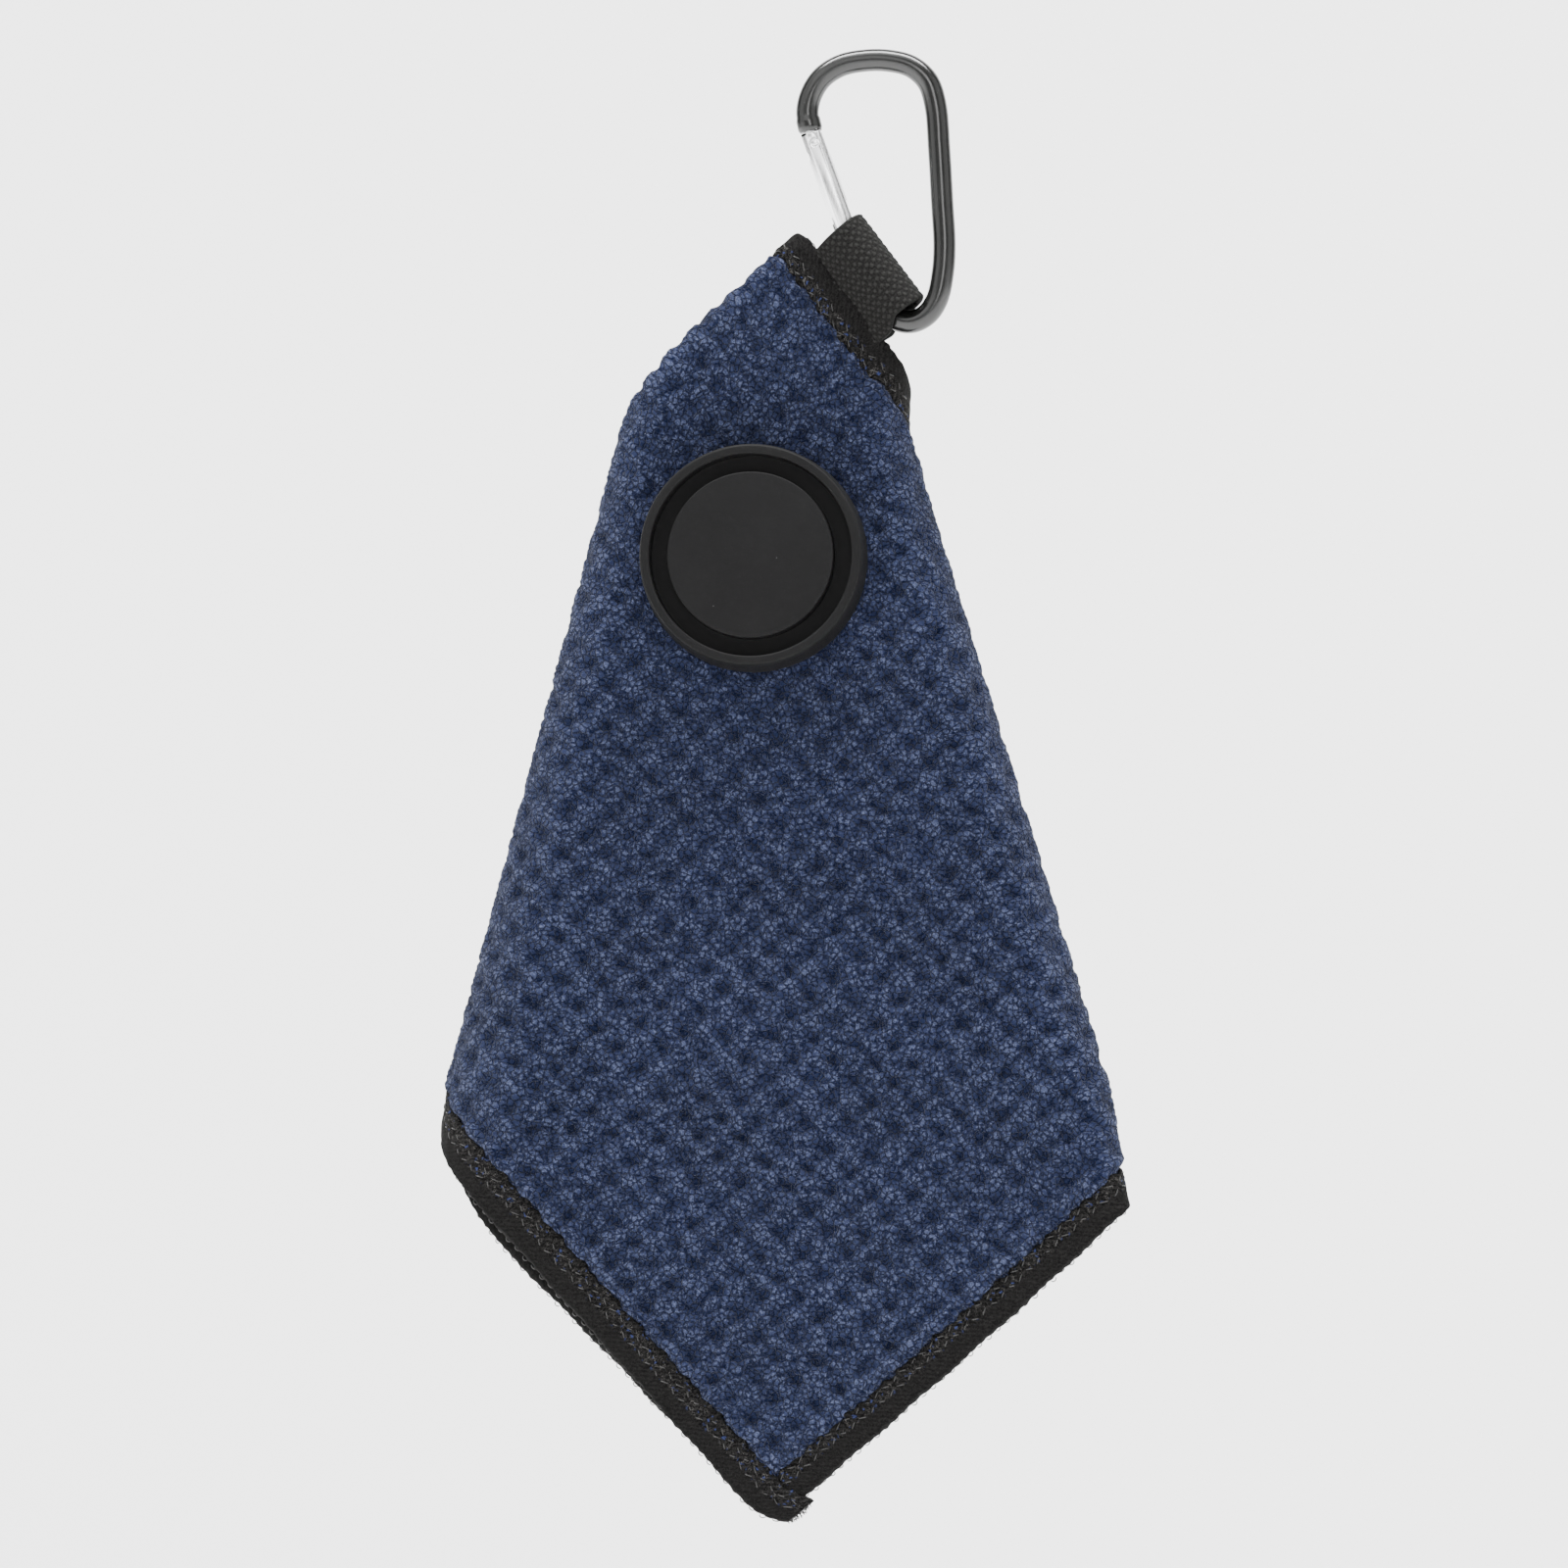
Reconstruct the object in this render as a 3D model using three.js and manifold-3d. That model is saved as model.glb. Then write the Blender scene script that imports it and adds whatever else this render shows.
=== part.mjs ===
// Magnetic golf towel: a folded waffle towel clamped between two magnet pucks, with a webbing loop
// and a carabiner. Millimetres, +Z up. The towel's front faces -Y. The origin is the centre of the
// back puck's outer face, the face that meets steel, and +Y points out of that face.
import * as THREE from 'three';
import { mergeVertices } from 'three/addons/utils/BufferGeometryUtils.js';
import Module from 'manifold-3d';

const wasm = await Module();
wasm.setup();

// ---- driving dimensions ------------------------------------------------------------------------

const CLEARANCE = 0.3; // gap between touching pieces
const DEG = Math.PI / 180;

// towel, as cut and bound
const TOWEL_LENGTH = 305;
const TOWEL_WIDTH = 157.5;
const CLOTH_HALF = 1.25; // half of the terry's thickness
const HEM_HALF = 0.55; // half of the thickness that the tapes squash it to
const LAYER_PITCH = 3.4; // between the middles of the two layers
const FRONT_LENGTH = 166.3; // low end to the fold
const BACK_SHIFT = 2; // the back layer lies this much lower than the front one
const BACK_END_SHIFT = 0.4; // but only this much at its own end
const BACK_SHIFT_RUN = 50;
const LOOP_SIDE_TAPER = 0.1; // the loop's edge leans in by this share of its length
const LOOP_SIDE_TAPER_LENGTH = 25;
const TOWEL_TURN = 42 * DEG; // the low end's edge above the horizontal
const LOW_CORNER = new THREE.Vector2(2.4, -170.3); // X, Z of the low corner
const END_SAG = 1.2; // the low end's edge hangs out by this much in its middle
const END_SAG_WIDTH = 120;
const END_SAG_LENGTH = 60; // and the sag is gone this far up the towel
const GRID_STEP = 6.4;

// binding tape, folded over the edge
const TAPE_WIDTH = 7.2;
const TAPE_HALF = 1.45;
const TAPE_INSIDE_HALF = 0.95;
const TAPE_FOLD_RUN = 0.8; // the outside rounds over the edge within this
const TAPE_FOLD_GAP = 0.65; // the inside stops this far from the fold
const HEM_INSET = 1; // the cloth stops this far inside the tape's fold
const HEM_RAMP = 2; // the terry swells back to full thickness over this
const STUB = 1.4; // the lower tape runs past the low corner and is cut off
const CORNER_BEND = 3.2; // and its end is pulled in by this much
const CORNER_BEND_LENGTH = 7.4;
const CORNER_BEND_WIDTH = 20;

// pucks
const PUCK_R = 20;
const BACK_PUCK_DEPTH = 7;
const CLAMPED_DEPTH = 5; // room left for the cloth between the pucks
const FRONT_PUCK_Y = -(BACK_PUCK_DEPTH + CLAMPED_DEPTH);
const FRONT_PUCK_DEPTH = 8.5;
const STACK_Y = -(BACK_PUCK_DEPTH + CLAMPED_DEPTH / 2); // middle of the two layers
const CLAMP_SQUEEZE = 0.25; // share of the thickness lost between the pucks
const CLAMP_INNER_R = 23;
const CLAMP_OUTER_R = 34;
const BOSS_R = 14.6;
const GROOVE_R = 17.8;
const MAGNET_R = 12.5;
const PUCK_SEGMENTS = 44;
const SHELL_WALL = 1.5;
const RIM_CHAMFER = 0.5;
const RIM_DRAFT = 0.45; // the front rim is this much narrower at its face than at its base
const GROOVE_RISE = 4.6; // groove floor above the front puck's open side
const FRONT_POCKET = 2.8; // depth of the front shell's wide pocket
const BACKING_DEPTH = 1.2;
const BACKING_INSET = 0.1;
const FRONT_MAGNET_DEPTH = 3.2;
const KEEPER_DEPTH = 1.3;
const BACK_MAGNET_R = 15;
const BACK_MAGNET_DEPTH = 2.1;
const GRIP_PAD_R = 17;
const GRIP_PAD_PROUD = 0.4; // the grip pad stands out of the back shell's face by this

// side rolls: both sides of the towel curl behind it, round a line that leans out as it goes down
const SIDE_TOP_Z = 15.5;
const LEFT_ROLL = {
  top: new THREE.Vector2(-26.6, SIDE_TOP_Z), side: -1, lean: 0.274,
  turn: (s) => (96 + 62 * smooth(s, 16, 72)) * DEG,
  radius: (s) => 6.2 + 8.3 * ramp(s, 0, 118),
  edge: (s) => -1.5 * smooth(s, 105, 125),
};
const RIGHT_ROLL = {
  top: new THREE.Vector2(28.9, SIDE_TOP_Z), side: 1, lean: 0.306,
  turn: (s) => (125 + 38 * smooth(s, 12, 60)) * DEG,
  radius: (s) => 7 - 3.8 * smooth(s, 88, 132),
  edge: (s) => 6.4 * smooth(-s, 5, 27) - 2.5 * smooth(s, 112, 134),
};
const ROLL_SKIN = 1.5; // from the front layer's middle to the widest point of its pile

// webbing loop: it stands out of the towel's edge along LOOP_OUT and runs along LOOP_ACROSS
const LOOP_FROM = -10.4;
const LOOP_TO = 8.4;
const LOOP_REACH = 9.9;
const LOOP_START = 1.2;
const WEBBING = 0.85;
const LOOP_ROOT = new THREE.Vector3(17.2, STACK_Y - LAYER_PITCH / 2, 46.9);
const LOOP_OUT = new THREE.Vector3(0.8, 0, 0.6);
const LOOP_ACROSS = new THREE.Vector3(0.6, 0, -0.8);

// carabiner
const ROD_R = 2;
const NOSE = new THREE.Vector2(9.9, 75.7);
const GATE_PIN = new THREE.Vector2(16.22, 58.04);
const GATE_BORE_R = 1.2;
const SLOT_HALF = 1;
const TONGUE_HALF = 0.7;
const TONGUE_PAST_PIN = 1.8;
const SHOULDER = 3.2; // from the hinge pin down to the full round rod
const PIN_R = 0.6;
const PIN_HOLE_R = 0.9;
const EAR_PAST_PIN = 2;
const BOTTOM_SLOT = 5;
const TOP_SLOT = 4.2;
const LATCH_DROP = 2.2; // latch pin below the nose
const BORE_END = 13.5;
const HOOK_REACH = [-1.8, -0.9]; // across the gate, out of the nose, behind the latch pin
const HOOK_DEPTH = 3.4;
const HOOK_ROOT = 0.5; // how far the hook goes into the nose
const GATE_TOP_GAP = 0.5; // between the gate and the nose
const PIN_INSET = 0.15; // the pins' ends lie this deep in the gate
const PLUNGER_R = 0.85;
const PLUNGER_END = 7; // above the hinge pin
const SPRING_R = 0.72;
const WIRE_R = 0.14;
const SPRING_TURNS = 6;
const SPRING_END_INSET = 0.2;

// ---- small tools -------------------------------------------------------------------------------

function clamp01(x) {
  return Math.min(1, Math.max(0, x));
}

function ramp(x, from, to) {
  return clamp01((x - from) / (to - from));
}

function mix(a, b, share) {
  return a + (b - a) * share;
}

function smooth(x, from, to) {
  const t = ramp(x, from, to);
  return t * t * (3 - 2 * t);
}

function signedVolume(points, faces) {
  let sum = 0;
  const cross = new THREE.Vector3();
  for (const [a, b, c] of faces) {
    cross.crossVectors(points[b], points[c]);
    sum += points[a].dot(cross);
  }
  return sum / 6;
}

// A closed body from points and triangles, turned so that its faces point out.
function closedBody(points, faces) {
  const flip = signedVolume(points, faces) < 0;
  const geometry = new THREE.BufferGeometry().setFromPoints(points);
  geometry.setIndex(faces.flatMap(([a, b, c]) => (flip ? [a, c, b] : [a, b, c])));
  geometry.computeVertexNormals();
  return geometry;
}

function merged(geometry) {
  const bare = geometry.clone();
  bare.deleteAttribute('normal');
  bare.deleteAttribute('uv');
  return mergeVertices(bare, 1e-4);
}

function toManifold(geometry) {
  const bare = merged(geometry);
  const vertProperties = new Float32Array(bare.attributes.position.array);
  const triVerts = new Uint32Array(bare.index.array);
  return new wasm.Manifold(new wasm.Mesh({ numProp: 3, vertProperties, triVerts }));
}

function fromManifold(solid) {
  const mesh = solid.getMesh();
  const geometry = new THREE.BufferGeometry();
  geometry.setAttribute('position', new THREE.BufferAttribute(mesh.vertProperties, 3));
  geometry.setIndex(new THREE.BufferAttribute(mesh.triVerts, 1));
  geometry.computeVertexNormals();
  return geometry;
}

// Cuts the geometries in cuts from base, after joining the ones in adds to it.
function carve(base, adds, cuts) {
  let solid = toManifold(base);
  for (const add of adds) {
    solid = solid.add(toManifold(add));
  }
  for (const cut of cuts) {
    solid = solid.subtract(toManifold(cut));
  }
  return fromManifold(solid);
}

function finish(colour, roughness, metalness) {
  return new THREE.MeshStandardMaterial({ color: colour, roughness, metalness });
}

const part = new THREE.Group();

function addPiece(name, geometry, material) {
  const mesh = new THREE.Mesh(geometry, material);
  mesh.name = name;
  part.add(mesh);
  return mesh;
}

// ---- how the towel lies ------------------------------------------------------------------------

const ALONG_WIDTH = new THREE.Vector2(Math.cos(TOWEL_TURN), Math.sin(TOWEL_TURN));
const ALONG_LENGTH = new THREE.Vector2(-Math.sin(TOWEL_TURN), Math.cos(TOWEL_TURN));
const FRONT_Y = STACK_Y - LAYER_PITCH / 2;
const FOLD_R = LAYER_PITCH / 2;
const FOLD_U = FRONT_LENGTH - CLOTH_HALF - FOLD_R;
const BACK_END_U = 2 * FOLD_U - (TOWEL_LENGTH - Math.PI * FOLD_R);

for (const roll of [LEFT_ROLL, RIGHT_ROLL]) {
  roll.down = new THREE.Vector2(roll.side * roll.lean, -1).normalize();
  roll.out = new THREE.Vector2(-roll.down.y * roll.side, roll.down.x * roll.side);
}

// Takes a point of the hanging plane (x, z) and its depth behind the front layer's middle, and curls
// it round a side roll where it lies past the roll's start.
function curl(x, z, depth, roll) {
  const from = new THREE.Vector2(x, z).sub(roll.top);
  const s = from.dot(roll.down);
  const radius = roll.radius(s);
  const start = roll.edge(s) - radius - ROLL_SKIN;
  const past = from.dot(roll.out) - start;
  if (past <= 0) {
    return null;
  }
  const angle = Math.min(past / radius, roll.turn(s));
  const rest = past - radius * angle;
  const out = start + (radius - depth) * Math.sin(angle) + rest * Math.cos(angle);
  const back = radius - (radius - depth) * Math.cos(angle) + rest * Math.sin(angle);
  const flat = roll.top.clone().addScaledVector(roll.down, s).addScaledVector(roll.out, out);
  return new THREE.Vector3(flat.x, FRONT_Y + back, flat.y);
}

// u runs along the towel from its low end, v across it from its lower edge.
function hang(u, v, depth) {
  const bend = clamp01((CORNER_BEND_LENGTH - STUB - u) / CORNER_BEND_LENGTH);
  const lean = LOOP_SIDE_TAPER * Math.min(FRONT_LENGTH - u, LOOP_SIDE_TAPER_LENGTH);
  const width = v * (1 - Math.max(lean, 0) / TOWEL_WIDTH);
  const across = width + CORNER_BEND * bend * bend * clamp01(1 - v / CORNER_BEND_WIDTH);
  const sag = END_SAG * Math.sin(Math.PI * clamp01(v / END_SAG_WIDTH)) * clamp01(1 - u / END_SAG_LENGTH);
  const flat = LOW_CORNER.clone().addScaledVector(ALONG_LENGTH, u - sag).addScaledVector(ALONG_WIDTH, across);
  const squeeze = 1 - CLAMP_SQUEEZE * (1 - smooth(flat.length(), CLAMP_INNER_R, CLAMP_OUTER_R));
  const pressed = FOLD_R + (depth - FOLD_R) * squeeze;
  const curled = curl(flat.x, flat.y, pressed, LEFT_ROLL) || curl(flat.x, flat.y, pressed, RIGHT_ROLL);
  return curled || new THREE.Vector3(flat.x, FRONT_Y + pressed, flat.y);
}

// A row is a line across the towel. lift is measured from the middle of the cloth to the outside.
function sheetPoint(row, v, lift) {
  if (row.layer === 'front') {
    return hang(row.u, v, -lift);
  }
  if (row.layer === 'back') {
    const shift = mix(BACK_END_SHIFT, BACK_SHIFT, smooth(row.u, BACK_END_U, BACK_END_U + BACK_SHIFT_RUN));
    return hang(row.u, v - shift, LAYER_PITCH + lift);
  }
  const r = FOLD_R + lift;
  const shift = BACK_SHIFT * smooth(row.angle, 0, Math.PI);
  return hang(FOLD_U + r * Math.sin(row.angle), v - shift, FOLD_R - r * Math.cos(row.angle));
}

function evenly(from, to, step) {
  const count = Math.max(1, Math.round(Math.abs(to - from) / step));
  return Array.from({ length: count + 1 }, (_, i) => from + ((to - from) * i) / count);
}

const HEM = TAPE_WIDTH;
const SWOLLEN = TAPE_WIDTH + HEM_RAMP;
const frontStations = [HEM_INSET, HEM, ...evenly(SWOLLEN, FOLD_U, GRID_STEP)];
const backStations = [
  ...frontStations.filter((u) => u > BACK_END_U + SWOLLEN + 2).reverse(),
  BACK_END_U + SWOLLEN, BACK_END_U + HEM, BACK_END_U + HEM_INSET,
];
const foldAngles = [45, 90, 135].map((angle) => angle * DEG);
const clothRows = [
  ...frontStations.map((u) => ({ layer: 'front', u, hem: u <= HEM })),
  ...foldAngles.map((angle) => ({ layer: 'fold', angle, hem: false })),
  ...backStations.map((u) => ({ layer: 'back', u, hem: u <= BACK_END_U + HEM + 0.01 })),
];
const acrossStations = [
  HEM_INSET, HEM, ...evenly(SWOLLEN, TOWEL_WIDTH - SWOLLEN, GRID_STEP),
  TOWEL_WIDTH - HEM, TOWEL_WIDTH - HEM_INSET,
];

function clothBody() {
  const columns = acrossStations.length;
  const points = [];
  for (const side of [1, -1]) {
    for (const row of clothRows) {
      for (const v of acrossStations) {
        const hem = row.hem || v <= HEM || v >= TOWEL_WIDTH - HEM;
        points.push(sheetPoint(row, v, side * (hem ? HEM_HALF : CLOTH_HALF)));
      }
    }
  }
  const inner = clothRows.length * columns;
  const faces = [];
  const quad = (a, b, c, d) => faces.push([a, b, c], [a, c, d]);
  for (let i = 0; i + 1 < clothRows.length; i += 1) {
    for (let j = 0; j + 1 < columns; j += 1) {
      const a = i * columns + j;
      quad(a, a + 1, a + columns + 1, a + columns);
      quad(inner + a, inner + a + columns, inner + a + columns + 1, inner + a + 1);
    }
    const left = i * columns;
    const right = left + columns - 1;
    quad(left, left + columns, inner + left + columns, inner + left);
    quad(right, inner + right, inner + right + columns, right + columns);
  }
  const last = inner - columns;
  for (let j = 0; j + 1 < columns; j += 1) {
    quad(j, inner + j, inner + j + 1, j + 1);
    quad(last + j, last + j + 1, inner + last + j + 1, inner + last + j);
  }
  return closedBody(points, faces);
}

// ---- binding tapes -----------------------------------------------------------------------------

// Half-open section of a tape: distance from its fold, and lift from the middle of the cloth.
const TAPE_SECTION = [
  [TAPE_WIDTH, TAPE_HALF], [TAPE_FOLD_RUN, TAPE_HALF], [0, TAPE_INSIDE_HALF], [0, -TAPE_INSIDE_HALF],
  [TAPE_FOLD_RUN, -TAPE_HALF], [TAPE_WIDTH, -TAPE_HALF], [TAPE_WIDTH, -TAPE_INSIDE_HALF],
  [TAPE_FOLD_GAP, -TAPE_INSIDE_HALF], [TAPE_FOLD_GAP, TAPE_INSIDE_HALF], [TAPE_WIDTH, TAPE_INSIDE_HALF],
];

// Joins rings of the tape's section. rising says whether the cloth's own stations run the same way as
// the section's first number, so that tape and cloth split their quads along the same diagonals.
function loft(rings, rising) {
  const count = rings[0].length;
  const points = rings.flat();
  const faces = [];
  for (let i = 0; i + 1 < rings.length; i += 1) {
    for (let j = 0; j < count; j += 1) {
      const next = (j + 1) % count;
      const a = i * count + j;
      const b = i * count + next;
      const climbs = TAPE_SECTION[next][0] >= TAPE_SECTION[j][0];
      if (climbs === rising) {
        faces.push([a, b, b + count], [a, b + count, a + count]);
      } else {
        faces.push([a, b, a + count], [b, b + count, a + count]);
      }
    }
  }
  const outline = TAPE_SECTION.map(([x, y]) => new THREE.Vector2(x, y));
  const end = (rings.length - 1) * count;
  for (const cap of THREE.ShapeUtils.triangulateShape(outline, [])) {
    const turn = THREE.ShapeUtils.area(cap.map((k) => outline[k])) * THREE.ShapeUtils.area(outline);
    const [p, q, r] = turn > 0 ? cap : [cap[0], cap[2], cap[1]];
    faces.push([p, r, q], [p + end, q + end, r + end]);
  }
  return closedBody(points, faces);
}

const backEndRow = { layer: 'back', u: BACK_END_U };

function longTape(firstU, edgeV, inward) {
  const rows = [{ layer: 'front', u: firstU }, ...clothRows, backEndRow];
  const ring = (row) => TAPE_SECTION.map(([x, lift]) => sheetPoint(row, edgeV + inward * x, lift));
  return loft(rows.map(ring), inward > 0);
}

function endTape(layer, edgeU) {
  const inset = TAPE_WIDTH + CLEARANCE;
  const stations = [inset, ...acrossStations.slice(2, -2), TOWEL_WIDTH - inset];
  const ring = (v) => TAPE_SECTION.map(([x, lift]) => sheetPoint({ layer, u: edgeU + x }, v, lift));
  return loft(stations.map(ring), layer === 'front');
}

// ---- pucks -------------------------------------------------------------------------------------

// A turned solid about the Y axis from [radius, y] points, listed so that the outside runs up +Y.
function turned(profile, segments = PUCK_SEGMENTS) {
  return merged(new THREE.LatheGeometry(profile.map(([r, y]) => new THREE.Vector2(r, y)), segments));
}

function disc(radius, lowY, highY) {
  return turned([[0, lowY], [radius, lowY], [radius, highY], [0, highY]]);
}

const rubber = finish(0x2b2b2c, 0.75, 0);
const magnetSteel = finish(0xb4b6b8, 0.3, 1);

function addFrontPuck() {
  const base = FRONT_PUCK_Y;
  const face = base - FRONT_PUCK_DEPTH;
  const groove = base - GROOVE_RISE;
  const pocket = base - FRONT_POCKET;
  addPiece('front_shell', turned([
    [0, face], [BOSS_R - RIM_CHAMFER, face], [BOSS_R, face + RIM_CHAMFER], [BOSS_R, groove],
    [GROOVE_R, groove], [GROOVE_R, face + RIM_CHAMFER], [GROOVE_R + RIM_CHAMFER, face],
    [PUCK_R - RIM_DRAFT - RIM_CHAMFER, face], [PUCK_R - RIM_DRAFT, face + RIM_CHAMFER],
    [PUCK_R, base - RIM_CHAMFER], [PUCK_R, base], [PUCK_R - SHELL_WALL, base],
    [PUCK_R - SHELL_WALL, pocket], [BOSS_R - SHELL_WALL, pocket], [BOSS_R - SHELL_WALL, face + SHELL_WALL],
    [0, face + SHELL_WALL],
  ]), rubber);
  const backing = base - BACKING_INSET - BACKING_DEPTH;
  const magnet = backing - CLEARANCE - FRONT_MAGNET_DEPTH;
  const keeper = magnet - CLEARANCE;
  addPiece('front_backing', disc(PUCK_R - SHELL_WALL - CLEARANCE, backing, base - BACKING_INSET), rubber);
  addPiece('front_magnet_disc', disc(MAGNET_R, magnet, backing - CLEARANCE), magnetSteel);
  addPiece('front_keeper', disc(MAGNET_R, keeper - KEEPER_DEPTH, keeper), magnetSteel);
}

function addBackPuck() {
  const padFloor = -SHELL_WALL;
  const inside = padFloor - SHELL_WALL;
  addPiece('back_grip_pad', disc(GRIP_PAD_R, padFloor + CLEARANCE, 0), finish(0x1c1c1d, 0.9, 0));
  addPiece('back_shell', turned([
    [0, inside], [PUCK_R - SHELL_WALL, inside], [PUCK_R - SHELL_WALL, -BACK_PUCK_DEPTH],
    [PUCK_R, -BACK_PUCK_DEPTH], [PUCK_R, -GRIP_PAD_PROUD - RIM_CHAMFER],
    [PUCK_R - RIM_CHAMFER, -GRIP_PAD_PROUD], [GRIP_PAD_R + CLEARANCE, -GRIP_PAD_PROUD],
    [GRIP_PAD_R + CLEARANCE, padFloor], [0, padFloor],
  ]), rubber);
  const magnet = inside - CLEARANCE;
  const backing = BACKING_INSET - BACK_PUCK_DEPTH;
  addPiece('back_magnet_disc', disc(BACK_MAGNET_R, magnet - BACK_MAGNET_DEPTH, magnet), magnetSteel);
  addPiece('back_backing', disc(PUCK_R - SHELL_WALL - CLEARANCE, backing, backing + BACKING_DEPTH), rubber);
}

// ---- webbing loop ------------------------------------------------------------------------------

// Section of the loop seen along its width: x runs out of the towel's edge, y towards the front.
function addWebbingLoop() {
  const outer = new THREE.SplineCurve([
    [LOOP_START, 2.9], [2.4, 4.1], [4.6, 4.8], [6.8, 4.7], [8.9, 3.2], [LOOP_REACH, 0],
  ].map(([x, y]) => new THREE.Vector2(x, y))).getPoints(14);
  const inner = outer.map((point, i) => {
    const next = outer[Math.min(i + 1, outer.length - 1)];
    const before = outer[Math.max(i - 1, 0)];
    const along = next.clone().sub(before).normalize();
    return point.clone().add(new THREE.Vector2(along.y, -along.x).multiplyScalar(WEBBING));
  });
  inner[0].x = LOOP_START;
  inner[inner.length - 1].set(LOOP_REACH - WEBBING, 0);
  const mirror = (points) => points.slice(0, -1).reverse().map((p) => new THREE.Vector2(p.x, -p.y));
  const shape = new THREE.Shape([
    ...outer, ...mirror(outer), ...[...inner, ...mirror(inner)].reverse(),
  ]);
  const geometry = new THREE.ExtrudeGeometry(shape, { depth: LOOP_TO - LOOP_FROM, bevelEnabled: false });
  geometry.translate(0, 0, LOOP_FROM);
  const front = new THREE.Vector3(0, -1, 0);
  const place = new THREE.Matrix4().makeBasis(LOOP_OUT, front, LOOP_ACROSS).setPosition(LOOP_ROOT);
  geometry.applyMatrix4(place);
  addPiece('webbing_loop', merged(geometry), finish(0x333331, 0.9, 0));
}

// ---- carabiner ---------------------------------------------------------------------------------

const ROD_Y = LOOP_ROOT.y;
const gateUp = NOSE.clone().sub(GATE_PIN).normalize();
const gateLength = NOSE.distanceTo(GATE_PIN);
const atRod = (point) => new THREE.Vector3(point.x, ROD_Y, point.y);

// The gate's own frame: x towards the carabiner's inside, y through its plane, z along the gate.
const gateFrame = new THREE.Matrix4().makeBasis(
  new THREE.Vector3(gateUp.y, 0, -gateUp.x),
  new THREE.Vector3(0, 1, 0),
  new THREE.Vector3(gateUp.x, 0, gateUp.y),
).setPosition(atRod(GATE_PIN));

function gateBox(x, y, z) {
  const geometry = new THREE.BoxGeometry(x[1] - x[0], y[1] - y[0], z[1] - z[0]);
  geometry.translate((x[0] + x[1]) / 2, (y[0] + y[1]) / 2, (z[0] + z[1]) / 2);
  return geometry.applyMatrix4(gateFrame);
}

function gateRod(radius, fromZ, toZ, segments = 20) {
  const geometry = new THREE.CylinderGeometry(radius, radius, toZ - fromZ, segments);
  geometry.rotateX(Math.PI / 2);
  geometry.translate(0, 0, (fromZ + toZ) / 2);
  return geometry.applyMatrix4(gateFrame);
}

function crossPin(radius, halfLength, z, segments = 14) {
  const geometry = new THREE.CylinderGeometry(radius, radius, 2 * halfLength, segments);
  geometry.translate(0, 0, z);
  return geometry.applyMatrix4(gateFrame);
}

function addCarabiner() {
  const black = finish(0x1a1b1c, 0.25, 0.6);
  const bright = finish(0xd0d2d4, 0.22, 1);
  const end = GATE_PIN.clone().addScaledVector(gateUp, TONGUE_PAST_PIN);
  const route = new THREE.CatmullRomCurve3([
    NOSE, [9.3, 79.3], [10.1, 82.6], [12, 85.4], [15.2, 87.4], [19, 88.2], [23.4, 88.2], [27.6, 87.1],
    [30.5, 84.5], [31.9, 80.4], [32.6, 72], [33.1, 63], [33.5, 55.2], [33.2, 50.4], [32.2, 45.8],
    [30.4, 43.1], [27.7, 41.8], [24.8, 42.4], [22.3, 45.9], [19.6, 50.9], [17.6, 54.6], GATE_PIN, end,
  ].map((point) => atRod(Array.isArray(point) ? new THREE.Vector2(...point) : point)), false, 'centripetal');
  const round = new THREE.Shape().absarc(0, 0, ROD_R, 0, 2 * Math.PI, false);
  const rod = new THREE.ExtrudeGeometry(round, { extrudePath: route, steps: 76, curveSegments: 6 });
  const wide = 2 * ROD_R;
  const tongueZ = [-SHOULDER, gateLength / 3];
  const hookZ = [gateLength - HOOK_DEPTH, gateLength + HOOK_ROOT];
  const hook = gateBox(HOOK_REACH, [-TONGUE_HALF, TONGUE_HALF], hookZ);
  addPiece('carabiner_body', carve(rod, [hook], [
    gateBox([-wide, wide], [TONGUE_HALF, wide], tongueZ),
    gateBox([-wide, wide], [-wide, -TONGUE_HALF], tongueZ),
    crossPin(PIN_HOLE_R, wide, 0),
  ]), black);

  const gateTop = gateLength - GATE_TOP_GAP;
  const tube = gateRod(ROD_R, -EAR_PAST_PIN, gateTop);
  addPiece('carabiner_gate', carve(tube, [], [
    gateBox([-wide, wide], [-SLOT_HALF, SLOT_HALF], [-wide, BOTTOM_SLOT]),
    gateBox([-wide, wide], [-SLOT_HALF, SLOT_HALF], [gateTop - TOP_SLOT, gateTop + wide]),
    gateRod(GATE_BORE_R, 0, BORE_END, 14),
    crossPin(PIN_HOLE_R, wide, 0),
    crossPin(PIN_HOLE_R, wide, gateLength - LATCH_DROP),
  ]), bright);
  const pinHalf = ROD_R - PIN_INSET;
  addPiece('gate_hinge_pin', crossPin(PIN_R, pinHalf, 0), bright);
  addPiece('gate_latch_pin', crossPin(PIN_R, pinHalf, gateLength - LATCH_DROP), bright);
  addPiece('gate_plunger', gateRod(PLUNGER_R, TONGUE_PAST_PIN + CLEARANCE, PLUNGER_END, 12), bright);
  addPiece('gate_spring', springBody(PLUNGER_END + CLEARANCE, BORE_END - CLEARANCE), bright);
}

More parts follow.
